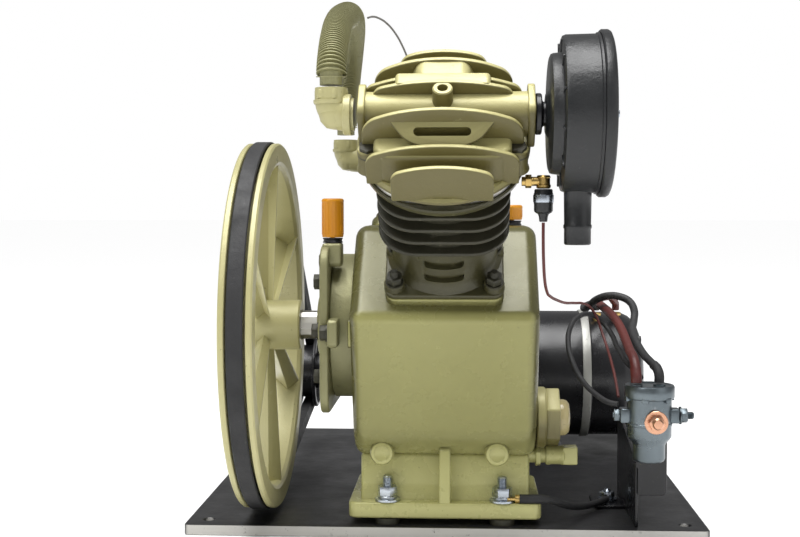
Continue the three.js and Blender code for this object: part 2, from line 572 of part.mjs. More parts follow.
function airIntake() {
  const group = new THREE.Group();
  const reach = portOf(front, port.front);
  group.position.set(0, -reach, reach);
  const flange = ringOf('x', 8, 17, filter.neck - 1, filter.neck + 6.7);
  const nipple = join(flange, ringOf('x', 8, 10, 62, filter.step + 12));
  group.add(
    named('filter_nipple', nipple, blackPaint),
    named('filter_body', filterBody(), blackPlastic),
    named('filter_element', ringOf('x', 38, 58, filter.can + 4, filter.lid - 1, 24), paper),
    named('filter_lid', filterLid(), blackPlastic),
  );
  return group;
}

function oilFittings() {
  const group = new THREE.Group();
  const tall = filler(42);
  const short = filler(20);
  const { halfX, ridge } = crankcase;
  const at = (geometry, x, y, z) => geometry.translate(x, y, z);
  const lens = turned([[0, 98], [17, 98], [17, 112], [12, 116], [0, 118]], 'x', 20);
  const bezel = join(
    ringOf('x', 17.5, 29, halfX + gap, 95.5, 24),
    cut(hexOf('x', 50, 95, 108), rodOf('x', 17.5, 90, 110, 24)),
    cut(ringOf('x', 10, 13.6, 72, 97, 24)),
    ringOf('x', 10, 20, 93, 97, 24),
  );
  group.add(
    named('oil_filler_neck', at(tall.neck, -106, -50, 82), blackPlastic),
    named('oil_filler_cap', at(tall.cap, -106, -50, 82), orange),
    named('breather_neck', at(short.neck, 64, 0, ridge), blackPlastic),
    named('breather_cap', at(short.cap, 64, 0, ridge), orange),
    named('sight_glass_bezel', at(bezel, 0, -36, -84), oliveLight),
    named('sight_glass_lens', at(lens, 0, -36, -84), clear),
    named('drain_pipe', ringOf('x', 5, 7.7, halfX - 10, 108, 16).translate(0, -30, -121), olive),
    named('drain_plug', drainPlug().translate(0, -30, -121), olive),
  );
  return group;
}

function drainPlug() {
  const socket = turned([[0, 124], [9.2, 124], [9.2, 96], [8, 96], [8, 110], [0, 110]], 'x', 16);
  return join(socket, prismX(rounded(8.4, 8.4, 1.5), 111, 126));
}

function pressureSwitch() {
  const group = new THREE.Group();
  group.position.set(83, -185, 0);
  const fitting = join(rodOf('z', 6, 131, 142, 12), rodOf('x', 4, -18, 2, 12).translate(0, 0, 137));
  const body = turned([[0, 103.5], [3.4, 103.5], [4, 110], [7.6, 112], [8, 130.7], [0, 130.7]], 'z', 16);
  group.add(named('switch_fitting', fitting, brass), named('pressure_switch', body, blackPlastic));
  return group;
}

function driveTrain() {
  const group = new THREE.Group();
  const face = wheel.centreX - wheel.width / 2 - gap;
  const headBolt = join(hexOf('x', 24, face - 13, face - 4), rodOf('x', 19, face - 5, face, 20));
  group.add(
    named('crankshaft', crankshaft(), steel),
    named('flywheel', flywheel(), oliveLight),
    named('flywheel_bolt', headBolt, steel),
    named('v_belt', beltLoop(), rubber),
    named('motor_pulley', motorPulley(), blackPaint),
    named('motor_rotor', motorRotor(), steel),
    named('motor_shell', motorShell(), blackPaint),
    named('motor_drive_bell', driveBell(), blackPaint),
    named('motor_end_bell', endBell(), blackPaint),
    named('motor_saddle', motorSaddle(), blackPaint),
  );
  return group;
}

function compressor() {
  const group = new THREE.Group();
  const pump = new THREE.Group();
  pump.position.set(0, -(plate.front + plate.rear) / 2, plate.thick - plate.floor);
  const frontPort = portOf(front, port.front);
  const rearPort = portOf(rear, port.rear);
  pump.add(
    named('base_plate', basePlate(), blackPaint),
    named('crankcase', crankcaseBody(), olive),
    named('bearing_cover', bearingCover(), oliveLight),
    named('drive_end_bearing', bearing(-103, -89), steel),
    named('far_end_bearing', bearing(62, 77), steel),
    named('front_elbow', elbow(-frontPort, frontPort, -73, tubeEnds.front[0]), oliveLight),
    named('rear_elbow', elbow(rearPort, rearPort, -88, tubeEnds.rear[0]), oliveLight),
    named('intercooler', intercooler(), olive),
    named('contactor_bracket', contactorBracket(), blackPaint),
    named('contactor_body', contactorBody(), zinc),
    named('contactor_front_stud', frontStud(), copper),
    named('contactor_side_stud', sideStud(), zinc),
    frontBank(),
    rearBank(),
    airIntake(),
    oilFittings(),
    pressureSwitch(),
    driveTrain(),
  );
  for (const [name, x, y] of footBolts) pump.add(named(`foot_bolt_${name}`, footBolt(x, y), zinc));
  for (const [name, { radius, steps, points }] of Object.entries(wires)) {
    pump.add(named(name, tubeAlong(points, radius, 8, steps), name === 'red_cable' ? red : rubber));
  }
  group.add(pump);
  return group;
}

export default compressor();
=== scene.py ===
# Belt-driven two-stage air compressor on its base plate: looks, camera and light.
# Pieces are drawn in millimetres in the pump's own frame: origin on the crankshaft's axis, X along the shaft.
import math

import bmesh
import bpy
from mathutils import Matrix, Vector


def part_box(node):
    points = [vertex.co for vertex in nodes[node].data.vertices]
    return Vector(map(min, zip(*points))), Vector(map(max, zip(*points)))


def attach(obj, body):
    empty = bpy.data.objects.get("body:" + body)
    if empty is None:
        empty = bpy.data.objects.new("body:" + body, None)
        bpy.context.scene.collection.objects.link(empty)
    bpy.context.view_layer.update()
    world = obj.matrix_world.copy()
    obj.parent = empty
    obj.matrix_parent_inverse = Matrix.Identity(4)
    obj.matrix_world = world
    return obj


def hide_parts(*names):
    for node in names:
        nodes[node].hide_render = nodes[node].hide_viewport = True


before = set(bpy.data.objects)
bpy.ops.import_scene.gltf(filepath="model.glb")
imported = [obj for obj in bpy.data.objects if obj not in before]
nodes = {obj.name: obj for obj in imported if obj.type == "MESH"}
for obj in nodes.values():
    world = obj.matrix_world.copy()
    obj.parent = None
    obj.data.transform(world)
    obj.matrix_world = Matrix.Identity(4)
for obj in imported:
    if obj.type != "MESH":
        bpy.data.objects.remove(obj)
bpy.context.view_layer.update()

# What several pieces share: the banks' lean, the rear bank's shift, the top of the base plate, the motor's
# axis (y, z), the inner and outer radii of a bearing's seat, and the width of a small nut
bankAngle, rearShift = 45, -22
plateTop = -182
motorAxis = (330, -89)
bearingSeat = (31.7, 40)
smallNut = 13

pumpFrame = Matrix.Translation((0, -0.185, 0.192)) @ Matrix.Scale(0.001, 4)
frontSeat = Matrix.Rotation(math.radians(bankAngle), 4, "X")
rearSeat = Matrix.Translation((rearShift, 0, 0)) @ Matrix.Rotation(math.radians(-bankAngle), 4, "X")
frontBank = pumpFrame @ frontSeat
rearBank = pumpFrame @ rearSeat @ Matrix.Scale(-1, 4, (0, 1, 0))

# Camera, floor and light
cameraView = {"place": (0.0175, -1.409, 0.307), "down": 2.77, "turn": 2.93, "lens": 56.25, "sensor": 36}
studio = {"world": 0.30, "floor": (0.95, 0.95, 0.95), "floorSize": 30, "floorRough": 0.9}
lamps = {
    "keyLight": {"place": (-1.3, -1.5, 1.9), "aim": (0, 0, 0.2), "size": 1.1, "power": 13},
    "fillLight": {"place": (1.7, -1.4, 1.0), "aim": (0, 0, 0.2), "size": 1.4, "power": 5},
    "topLight": {"place": (-0.1, -0.55, 2.1), "aim": (0, 0, 0.15), "size": 1.3, "power": 20},
    "skyLight": {"place": (-0.3, -0.5, 3), "aim": (0, 0, 0), "size": 50, "power": 2.5, "kind": "SUN"},
}


def makeCamera():
    camera = bpy.data.objects.new("camera", bpy.data.cameras.new("camera"))
    bpy.context.scene.collection.objects.link(camera)
    camera.location = cameraView["place"]
    camera.rotation_euler = (math.radians(90 - cameraView["down"]), 0, math.radians(cameraView["turn"]))
    camera.data.lens = cameraView["lens"]
    camera.data.sensor_width = cameraView["sensor"]
    bpy.context.scene.camera = camera


def makeLight(name, place, aim, size, power, kind="AREA"):
    light = bpy.data.lights.new(name, kind)
    light.energy = power
    if kind == "SUN":
        light.angle = math.radians(size)
    else:
        light.size = size
    lamp = bpy.data.objects.new(name, light)
    bpy.context.scene.collection.objects.link(lamp)
    lamp.location = place
    lamp.rotation_euler = (Vector(aim) - Vector(place)).to_track_quat("-Z", "Y").to_euler()


def makeStudio():
    world = bpy.data.worlds.new("studio")
    bpy.context.scene.world = world
    bpy.context.scene.view_settings.view_transform = "Standard"
    world.use_nodes = True
    background = world.node_tree.nodes["Background"]
    background.inputs["Color"].default_value = (1, 1, 1, 1)
    background.inputs["Strength"].default_value = studio["world"]
    backdrop = world.node_tree.nodes.new("ShaderNodeBackground")
    backdrop.inputs["Color"].default_value = (1, 1, 1, 1)
    choose = world.node_tree.nodes.new("ShaderNodeMixShader")
    rays = world.node_tree.nodes.new("ShaderNodeLightPath")
    links = world.node_tree.links
    links.new(rays.outputs["Is Camera Ray"], choose.inputs["Fac"])
    links.new(background.outputs["Background"], choose.inputs[1])
    links.new(backdrop.outputs["Background"], choose.inputs[2])
    links.new(choose.outputs["Shader"], world.node_tree.nodes["World Output"].inputs["Surface"])
    for name, lamp in lamps.items():
        makeLight(name, **lamp)
    bm = bmesh.new()
    bmesh.ops.create_grid(bm, x_segments=1, y_segments=1, size=studio["floorSize"])
    mesh = bpy.data.meshes.new("floor")
    bm.to_mesh(mesh)
    bm.free()
    floor = bpy.data.objects.new("floor", mesh)
    bpy.context.scene.collection.objects.link(floor)
    material = bpy.data.materials.new("floorPaper")
    material.use_nodes = True
    shader = material.node_tree.nodes["Principled BSDF"]
    shader.inputs["Base Color"].default_value = (*studio["floor"], 1)
    shader.inputs["Roughness"].default_value = studio["floorRough"]
    mesh.materials.append(material)


makeCamera()
makeStudio()
print("studio ready")


# Finishes. Each is a painted, cast or bare surface with its own grain, patches and wear. Colours named
# underShade and side are painted shade on the faces that look down and on those that look aside rather than
# forward, low is painted light on the faces near the plate, and front is the colour of the faces that look
# forward
class Surface:
    def __init__(self, name):
        self.material = bpy.data.materials.new(name)
        self.material.use_nodes = True
        self.tree = self.material.node_tree
        self.shader = self.tree.nodes["Principled BSDF"]
        self.place = self.add("ShaderNodeTexCoord").outputs["Object"]

    def add(self, kind, **values):
        node = self.tree.nodes.new(kind)
        for key, value in values.items():
            setattr(node, key, value)
        return node

    def link(self, source, target):
        self.tree.links.new(source, target)

    def noise(self, scale, detail, rough=0.55):
        node = self.add("ShaderNodeTexNoise")
        node.inputs["Scale"].default_value = scale
        node.inputs["Detail"].default_value = detail
        node.inputs["Roughness"].default_value = rough
        self.link(self.place, node.inputs["Vector"])
        return node.outputs["Fac"]

    def facing(self, low, high, axis="Z"):
        split = self.add("ShaderNodeSeparateXYZ")
        self.link(self.add("ShaderNodeTexCoord").outputs["Normal"], split.inputs["Vector"])
        return self.ramp(split.outputs[axis], low, high)

    def ramp(self, source, low, high, start=0.0, end=1.0):
        node = self.add("ShaderNodeMapRange")
        node.inputs["From Min"].default_value = low
        node.inputs["From Max"].default_value = high
        node.inputs["To Min"].default_value = start
        node.inputs["To Max"].default_value = end
        self.link(source, node.inputs["Value"])
        return node.outputs["Result"]

    def blend(self, share, first, second):
        node = self.add("ShaderNodeMix", data_type="RGBA")
        self.link(share, node.inputs["Factor"])
        for socket, colour in ((node.inputs["A"], first), (node.inputs["B"], second)):
            if isinstance(colour, (tuple, list)):
                socket.default_value = (*colour, 1)
            else:
                self.link(colour, socket)
        return node.outputs["Result"]

    def bump(self, source, strength, depth, below=None):
        node = self.add("ShaderNodeBump")
        node.inputs["Strength"].default_value = strength
        node.inputs["Distance"].default_value = depth
        self.link(source, node.inputs["Height"])
        if below is not None:
            self.link(below, node.inputs["Normal"])
        return node.outputs["Normal"]


finishes = {
    # olivePaint: side is painted shade on the faces that look aside, low is painted light near the plate
    "olivePaint": {"base": (0.33, 0.318, 0.115), "patch": (0.30, 0.288, 0.10), "speck": (0.22, 0.205, 0.08),
                   "rough": 0.26, "metal": 0.1, "grain": 0.12, "wear": (0.345, 0.332, 0.125),
                   "side": (0.105, 0.099, 0.036), "low": (0.50, 0.485, 0.20)},
    # litPalePaint: the olive paint lightened as painted light from above, with painted shade in underShade on
    # faces that look down
    "litPalePaint": {"base": (0.60, 0.555, 0.27), "patch": (0.50, 0.46, 0.20), "speck": (0.20, 0.17, 0.07),
                  "rough": 0.36, "metal": 0.1, "grain": 0.4, "wear": (0.72, 0.69, 0.42),
                  "underShade": (0.125, 0.108, 0.036)},
    # darkIronAndFinShade: dark iron for bolts, studs and spacers, and near-black painted shade on the
    # cylinders' fins
    "darkIronAndFinShade": {"base": (0.028, 0.027, 0.016), "patch": (0.045, 0.042, 0.025),
                    "speck": (0.02, 0.02, 0.02),
                    "rough": 0.45, "metal": 0.2, "grain": 0.5, "wear": (0.24, 0.23, 0.17)},
    "coverPaint": {"base": (0.30, 0.29, 0.14), "patch": (0.22, 0.21, 0.11), "speck": (0.12, 0.11, 0.07),
                   "rough": 0.4, "metal": 0.3, "grain": 0.4, "wear": (0.5, 0.48, 0.33)},
    "oliveDull": {"base": (0.36, 0.35, 0.185), "patch": (0.29, 0.28, 0.145), "speck": (0.05, 0.05, 0.03),
                  "rough": 0.42, "metal": 0.3, "grain": 0.4, "wear": (0.34, 0.33, 0.22)},
    "blackPaint": {"base": (0.004, 0.004, 0.005), "patch": (0.009, 0.009, 0.011), "speck": (0.06, 0.06, 0.06),
                   "rough": 0.28, "metal": 0.0, "grain": 0.12, "wear": (0.10, 0.10, 0.11)},
    "blackPlastic": {"base": (0.007, 0.008, 0.009), "patch": (0.014, 0.015, 0.016),
                     "speck": (0.04, 0.04, 0.04),
                     "rough": 0.34, "metal": 0.0, "grain": 0.35, "wear": (0.06, 0.06, 0.065)},
    "blackRubber": {"base": (0.013, 0.013, 0.014), "patch": (0.024, 0.024, 0.025),
                    "speck": (0.06, 0.058, 0.055),
                    "rough": 0.62, "metal": 0.0, "grain": 0.4, "wear": (0.05, 0.05, 0.05)},
    "machinedSteel": {"base": (0.58, 0.57, 0.54), "patch": (0.46, 0.45, 0.42), "speck": (0.25, 0.23, 0.20),
                      "rough": 0.3, "metal": 1.0, "grain": 0.12, "wear": (0.8, 0.8, 0.78)},
    "zincPlate": {"base": (0.52, 0.56, 0.60), "patch": (0.42, 0.46, 0.52), "speck": (0.30, 0.30, 0.32),
                  "rough": 0.26, "metal": 1.0, "grain": 0.12, "wear": (0.8, 0.82, 0.85)},
    "contactorZinc": {"base": (0.17, 0.20, 0.215), "patch": (0.10, 0.12, 0.135), "speck": (0.09, 0.09, 0.1),
                      "rough": 0.3, "metal": 0.9, "grain": 0.2, "wear": (0.5, 0.53, 0.56)},
    "yellowBrass": {"base": (0.66, 0.47, 0.18), "patch": (0.54, 0.37, 0.13), "speck": (0.28, 0.18, 0.07),
                    "rough": 0.28, "metal": 1.0, "grain": 0.12, "wear": (0.85, 0.7, 0.38)},
    "copperStud": {"base": (0.72, 0.40, 0.26), "patch": (0.58, 0.30, 0.19), "speck": (0.3, 0.14, 0.09),
                   "rough": 0.3, "metal": 1.0, "grain": 0.12, "wear": (0.9, 0.62, 0.45)},
    "orangePlastic": {"base": (0.66, 0.27, 0.006), "patch": (0.58, 0.22, 0.005), "speck": (0.42, 0.16, 0.01),
                      "rough": 0.36, "metal": 0.0, "grain": 0.2, "wear": (0.92, 0.5, 0.1)},
    "redSleeving": {"base": (0.075, 0.012, 0.010), "patch": (0.12, 0.02, 0.015),
                    "speck": (0.02, 0.004, 0.004),
                    "rough": 0.45, "metal": 0.0, "grain": 0.3, "wear": (0.2, 0.05, 0.04)},
    "greyWire": {"base": (0.16, 0.15, 0.14), "patch": (0.22, 0.21, 0.2), "speck": (0.06, 0.06, 0.05),
                 "rough": 0.5, "metal": 0.0, "grain": 0.3, "wear": (0.3, 0.3, 0.28)},
    "greyBand": {"base": (0.40, 0.40, 0.37), "patch": (0.30, 0.30, 0.28), "speck": (0.12, 0.12, 0.11),
                 "rough": 0.35, "metal": 0.3, "grain": 0.2, "wear": (0.6, 0.6, 0.57)},
    "filterPaper": {"base": (0.62, 0.55, 0.40), "patch": (0.54, 0.47, 0.33), "speck": (0.3, 0.26, 0.18),
                    "rough": 0.9, "metal": 0.0, "grain": 0.5, "wear": (0.7, 0.65, 0.5)},
    "sightLens": {"base": (0.52, 0.45, 0.24), "patch": (0.42, 0.34, 0.15), "speck": (0.2, 0.16, 0.07),
                  "rough": 0.08, "metal": 0.0, "grain": 0.03, "wear": (0.7, 0.65, 0.45)},
    "paleRim": {"base": (0.50, 0.465, 0.235), "patch": (0.43, 0.40, 0.19), "speck": (0.2, 0.17, 0.08),
                "rough": 0.34, "metal": 0.1, "grain": 0.28, "wear": (0.66, 0.63, 0.40)},
    "blackPlate": {"base": (0.010, 0.010, 0.011), "patch": (0.018, 0.018, 0.019),
                   "speck": (0.07, 0.068, 0.064),
                   "rough": 0.4, "metal": 0.0, "grain": 0.2, "wear": (0.05, 0.048, 0.045),
                   "front": (0.50, 0.49, 0.46)},
    # shadedSkirtPaint: a darker copy of the olive paint as painted shade on the cylinders, with more painted
    # shade in underShade below
    "shadedSkirtPaint": {"base": (0.075, 0.070, 0.030), "patch": (0.05, 0.047, 0.02), "speck": (0.04, 0.036, 0.02),
                   "rough": 0.34, "metal": 0.1, "grain": 0.4, "wear": (0.26, 0.245, 0.15),
                   "underShade": (0.05, 0.046, 0.018)},
}


# How fine each layer's noise is, and how deep the two bumps go
grain = {"patches": 9, "scuffs": 42, "specks": 190, "gloss": 26, "coarse": 140, "coarseDepth": 0.0012,
         "fine": 700, "fineDepth": 0.0005}


def makeFinish(name, look):
    surface = Surface(name)
    patches = surface.ramp(surface.noise(grain["patches"], 5), 0.35, 0.65)
    specks = surface.ramp(surface.noise(grain["specks"], 3, 0.7), 0.66, 0.76)
    scuffs = surface.ramp(surface.noise(grain["scuffs"], 6, 0.72), 0.64, 0.74, 0.0, 0.45)
    colour = surface.blend(patches, look["base"], look["patch"])
    # Painted shade: faces that look down take the darker underShade colour
    if "underShade" in look:
        colour = surface.blend(surface.facing(-0.2, 0.6), look["underShade"], colour)
    if "front" in look:
        colour = surface.blend(surface.facing(-0.6, -0.95, "Y"), colour, look["front"])
    # Painted shade: faces that look aside rather than forward take the dark side colour
    if "side" in look:
        colour = surface.blend(surface.facing(-0.66, -0.97, "Y"), look["side"], colour)
    # Painted light: surfaces below 6 cm in object space take the lighter low colour, fading out by 10 cm
    if "low" in look:
        height = surface.add("ShaderNodeSeparateXYZ")
        surface.link(surface.place, height.inputs["Vector"])
        colour = surface.blend(surface.ramp(height.outputs["Z"], 0.06, 0.1), look["low"], colour)
    colour = surface.blend(scuffs, colour, look["wear"])
    colour = surface.blend(specks, colour, look["speck"])
    surface.link(colour, surface.shader.inputs["Base Color"])
    dull, glossy = min(look["rough"] * 1.3, 1), look["rough"] * 0.78
    rough = surface.ramp(surface.noise(grain["gloss"], 6, 0.6), 0.3, 0.7, glossy, dull)
    surface.link(rough, surface.shader.inputs["Roughness"])
    surface.shader.inputs["Metallic"].default_value = look["metal"]
    coarse = surface.bump(surface.noise(grain["coarse"], 5, 0.6), look["grain"], grain["coarseDepth"])
    fine = surface.bump(surface.noise(grain["fine"], 3, 0.6), look["grain"] * 0.6, grain["fineDepth"], coarse)
    surface.link(fine, surface.shader.inputs["Normal"])
    return surface.material


materials = {name: makeFinish(name, look) for name, look in finishes.items()}
print("finishes ready")


# Cords: each follows its route at its real length
wires = {
    "switchWire": {"node": "switch_wire", "radius": 1.3, "finish": "redSleeving", "slot": "red_sleeving",
        "points": [
        (83, -185, 103), (83, -185, 90), (83.5, -183, 72), (85, -176, 55), (88, -160, 44), (93, -134, 38),
        (102, -98, 32), (112, -60, 27), (124, -22, 24), (134, -4, 22), (143, 10, 16), (149, 14, 6),
        (153, 10, -6), (156, -4, -18), (157.5, -24, -28), (158.5, -44, -38), (159, -62, -48),
        (159, -78, -57.5)]},
    "loopCable": {"node": "loop_cable", "radius": 2.6, "finish": "blackRubber", "slot": "black_rubber",
        "points": [
        (157.5, -88, -63), (150, -84, -62), (140, -74, -57), (129, -58, -47), (121, -38, -32),
        (118, -18, -15),
        (122, 2, -1), (131, 20, 7), (142, 33, 9), (152, 40, 5), (160, 40, -3), (165, 28, -11), (167, 6, -19),
        (169, -18, -25), (171, -40, -30), (174, -56, -33), (178, -68, -37), (180, -74, -40.7)]},
    "redCable": {"node": "red_cable", "radius": 4.4, "finish": "redSleeving", "slot": "red_sleeving",
        "points": [
        (173.5, -91, -42.9), (173.4, -90.5, -36), (173, -85, -27), (172.5, -74, -21), (172, -58, -18),
        (171.5, -36, -12), (170.5, -10, -4), (168, 18, 4), (164, 44, 10), (161, 70, 13), (160, 100, 14),
        (162, 136, 14), (167, 176, 13), (175, 216, 12), (184, 250, 11), (192, 276, 9), (198, 294, 3),
        (201.8, 305, -2), (202, 306, -8.6)]},
    "blackCable": {"node": "black_cable", "radius": 3.8, "finish": "blackRubber", "slot": "black_rubber",
        "points": [
        (194.5, -88, -43), (194.5, -87, -37), (193.5, -81, -31), (190, -68, -27), (186, -48, -22),
        (182, -22, -12), (182, 4, -4), (186, 22, 4), (187.5, 32, 13), (184, 40, 21), (175, 46, 25.5),
        (164, 52, 26), (154, 60, 22), (148, 74, 15), (146, 94, 10), (147, 128, 7), (150, 168, 5),
        (155, 208, 3), (162, 244, 2), (169, 270, 1), (174.5, 288, -3), (177.9, 299, -2), (178, 300, -8.6)]},
    "groundCable": {"node": "ground_cable", "radius": 3.4, "finish": "blackRubber", "slot": "black_rubber",
        "points": [
        (66.6, -61, -157), (76, -62, -157), (88, -61, -157), (100, -56, -159.5), (111, -46, -165),
        (122, -32, -170.5), (134, -16, -174), (145, -2, -175), (154, 10, -174.8), (160, 18, -174.4)]},
    "linkWire": {"node": "link_wire", "radius": 1.0, "finish": "greyWire", "slot": "grey_wire",
        "points": [
        (-76, -6, 299), (-72, 0, 301), (-66, 12, 301), (-59, 30, 298), (-52, 50, 291), (-46, 70, 281),
        (-41, 86, 269), (-37, 100, 255), (-34, 110, 240), (-33, 116, 228)]},
}


def smoothCurve(name, route, steps, radius=0, sides=0):
    curve = bpy.data.curves.new(name, "CURVE")
    curve.dimensions = "3D"
    curve.bevel_depth = radius
    curve.bevel_resolution = sides
    curve.resolution_u = steps
    curve.use_fill_caps = radius > 0
    spline = curve.splines.new("BEZIER")
    spline.bezier_points.add(len(route) - 1)
    for point, at in zip(spline.bezier_points, route):
        point.co = at
        point.handle_left_type = point.handle_right_type = "AUTO"
    return curve


def makeCord(name, wire):
    route = [pumpFrame @ Vector(p) for p in wire["points"]]
    curve = smoothCurve(name, route, 8, wire["radius"] / 1000, 5)
    cord = bpy.data.objects.new(name, curve)
    bpy.context.scene.collection.objects.link(cord)
    curve.materials.append(materials[wire["finish"]])
    bpy.context.view_layer.update()
    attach(cord, "frame")
    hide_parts(wire["node"])


for name, wire in wires.items():
    makeCord(name, wire)
print("cords ready")


# The running gear inside the pump, the bearings and the motor's shaft keep their CAD shape, in machined steel
runningGear = ["crankshaft", "front_rod", "rear_rod", "front_piston", "rear_piston", "front_wrist_pin",
               "rear_wrist_pin", "drive_end_bearing", "far_end_bearing", "motor_rotor"]
for member in runningGear:
    nodes[member].data.materials.clear()
    nodes[member].data.materials.append(materials["machinedSteel"])
print("frame finishes ready")


# Makers shared by the pieces. Each adds one closed shape, with its edges rounded, to the piece in the making
axisTurns = {"X": Matrix(((0, 0, 1, 0), (1, 0, 0, 0), (0, 1, 0, 0), (0, 0, 0, 1))),
             "Y": Matrix(((1, 0, 0, 0), (0, 0, 1, 0), (0, 1, 0, 0), (0, 0, 0, 1))),
             "Z": Matrix.Identity(4)}


def absorb(bm, part, matrix=None):
    bmesh.ops.remove_doubles(part, verts=part.verts, dist=0.002)
    if matrix is not None:
        bmesh.ops.transform(part, matrix=matrix, verts=part.verts)
    bmesh.ops.recalc_face_normals(part, faces=part.faces)
    mesh = bpy.data.meshes.new("part")
    part.to_mesh(mesh)
    part.free()
    bm.from_mesh(mesh)
    bpy.data.meshes.remove(mesh)


def roundEdges(part, width, segments, angle=50):
    sharp = [e for e in part.edges if len(e.link_faces) == 2 and e.calc_face_angle(0) > math.radians(angle)]
    bmesh.ops.bevel(part, geom=sharp, offset=width, offset_type="OFFSET", affect="EDGES", segments=segments,
                    profile=0.5, material=-1, clamp_overlap=True)


# Outlines for a slab: a block between four sides, and a rectangle about the origin
def block(left, right, low, high, corner=0):
    ends = (corner,) if corner else ()
    return [(left, low, *ends), (right, low, *ends), (right, high, *ends), (left, high, *ends)]


def rectangle(half, depth, corner):
    return block(half, -half, depth, -depth, corner)


# Profiles for a turned shape: a solid disc and a hoop round it, from one height to another
def disc(radius, low, high):
    return [(0, low), (radius, low), (radius, high), (0, high)]


def hoop(inner, outer, low, high):
    return [(inner, low), (outer, low), (outer, high), (inner, high), (inner, low)]


# An outline of (a, b, corner) points, drawn out along an axis: X takes (y, z), Y takes (x, z), Z takes (x, y)
def slab(bm, points, axis, start, end, edge=0, segments=3, steps=6, matrix=None):
    part = bmesh.new()
    verts = [part.verts.new((p[0], p[1], start)) for p in points]
    part.faces.new(verts)
    for vert, point in zip(verts, points):
        if len(point) > 2:
            bmesh.ops.bevel(part, geom=[vert], offset=point[2], offset_type="OFFSET", affect="VERTICES",
                            segments=steps, profile=0.5, material=-1, clamp_overlap=False)
    grown = bmesh.ops.extrude_face_region(part, geom=part.faces[:])
    top = [v for v in grown["geom"] if isinstance(v, bmesh.types.BMVert)]
    bmesh.ops.translate(part, vec=(0, 0, end - start), verts=top)
    if edge:
        roundEdges(part, edge, segments)
    turn = axisTurns[axis]
    absorb(bm, part, turn if matrix is None else matrix @ turn)


# A (radius, height) profile spun round an axis through the given point
def turned(bm, profile, axis="X", centre=(0, 0, 0), steps=64, flip=1, edge=0):
    part = bmesh.new()
    chain = [part.verts.new((radius, 0, height * flip)) for radius, height in profile]
    edges = [part.edges.new(pair) for pair in zip(chain, chain[1:])]
    bmesh.ops.spin(part, geom=chain + edges, cent=(0, 0, 0), axis=(0, 0, 1), angle=math.tau, steps=steps,
                   use_merge=True)
    bmesh.ops.remove_doubles(part, verts=part.verts, dist=0.002)
    if edge:
        roundEdges(part, edge, 2, 40)
    absorb(bm, part, Matrix.Translation(centre) @ axisTurns[axis])


def nut(bm, across, axis, centre, low, high, turn=0, washer=0, flip=1):
    part = bmesh.new()
    radius = across / math.sqrt(3)
    bmesh.ops.create_cone(part, cap_ends=True, segments=6, radius1=radius, radius2=radius, depth=high - low)
    roundEdges(part, across * 0.035, 2)
    middle = Matrix.Translation((0, 0, (low + high) / 2 * flip)) @ Matrix.Rotation(math.radians(turn), 4, "Z")
    absorb(bm, part, Matrix.Translation(centre) @ axisTurns[axis] @ middle)
    if washer:
        turned(bm, disc(washer, low - 1.8, low - 0.1), axis, centre, 32, flip)


def thread(bm, radius, pitch, axis, centre, low, high, flip=1):
    turns = int((high - low - 1) / pitch)
    profile = [(0, low), (radius * 0.86, low)]
    for i in range(turns):
        profile += [(radius, low + (i + 0.5) * pitch), (radius * 0.86, low + (i + 1) * pitch)]
    profile += [(radius * 0.86, high - 0.8), (radius * 0.7, high), (0, high)]
    turned(bm, profile, axis, centre, 24, flip)


# The mesh that a curve gives
def meshOf(curve):
    made = bpy.data.objects.new(curve.name, curve)
    bpy.context.scene.collection.objects.link(made)
    bpy.context.view_layer.update()
    mesh = bpy.data.meshes.new_from_object(made.evaluated_get(bpy.context.evaluated_depsgraph_get()))
    bpy.data.objects.remove(made)
    return mesh


# A round bar along a route, with its ends closed
def swept(bm, route, radius, sides=10):
    mesh = meshOf(smoothCurve("sweep", route, 8, radius, sides))
    part = bmesh.new()
    part.from_mesh(mesh)
    bpy.data.meshes.remove(mesh)
    absorb(bm, part)


def cuttingObject(bm):
    mesh = bpy.data.meshes.new("cutting")
    bmesh.ops.recalc_face_normals(bm, faces=bm.faces)
    bm.to_mesh(mesh)
    bm.free()
    made = bpy.data.objects.new("cutting", mesh)
    bpy.context.scene.collection.objects.link(made)
    return made


# The first shape with the second taken out of it
def subtract(bm, body, cutter):
    kept, gone = cuttingObject(body), cuttingObject(cutter)
    modifier = kept.modifiers.new("cut", "BOOLEAN")
    modifier.operation = "DIFFERENCE"
    modifier.solver = "EXACT"
    modifier.object = gone
    bpy.context.view_layer.update()
    mesh = bpy.data.meshes.new_from_object(kept.evaluated_get(bpy.context.evaluated_depsgraph_get()))
    bpy.data.objects.remove(kept)
    bpy.data.objects.remove(gone)
    bm.from_mesh(mesh)
    bpy.data.meshes.remove(mesh)


# A round cutter
def barrel(radius, start, end, axis="Z", matrix=None):
    cutter = bmesh.new()
    turned(cutter, disc(radius, start, end), axis, steps=96)
    if matrix is not None:
        bmesh.ops.transform(cutter, matrix=matrix, verts=cutter.verts)
    return cutter


# Several cutters in turn. One that opens the shape goes before one that hollows it
def subtractAll(bm, body, cutters):
    for cutter in cutters:
        rest = bmesh.new()
        subtract(rest, body, cutter)
        body = rest
    absorb(bm, body)


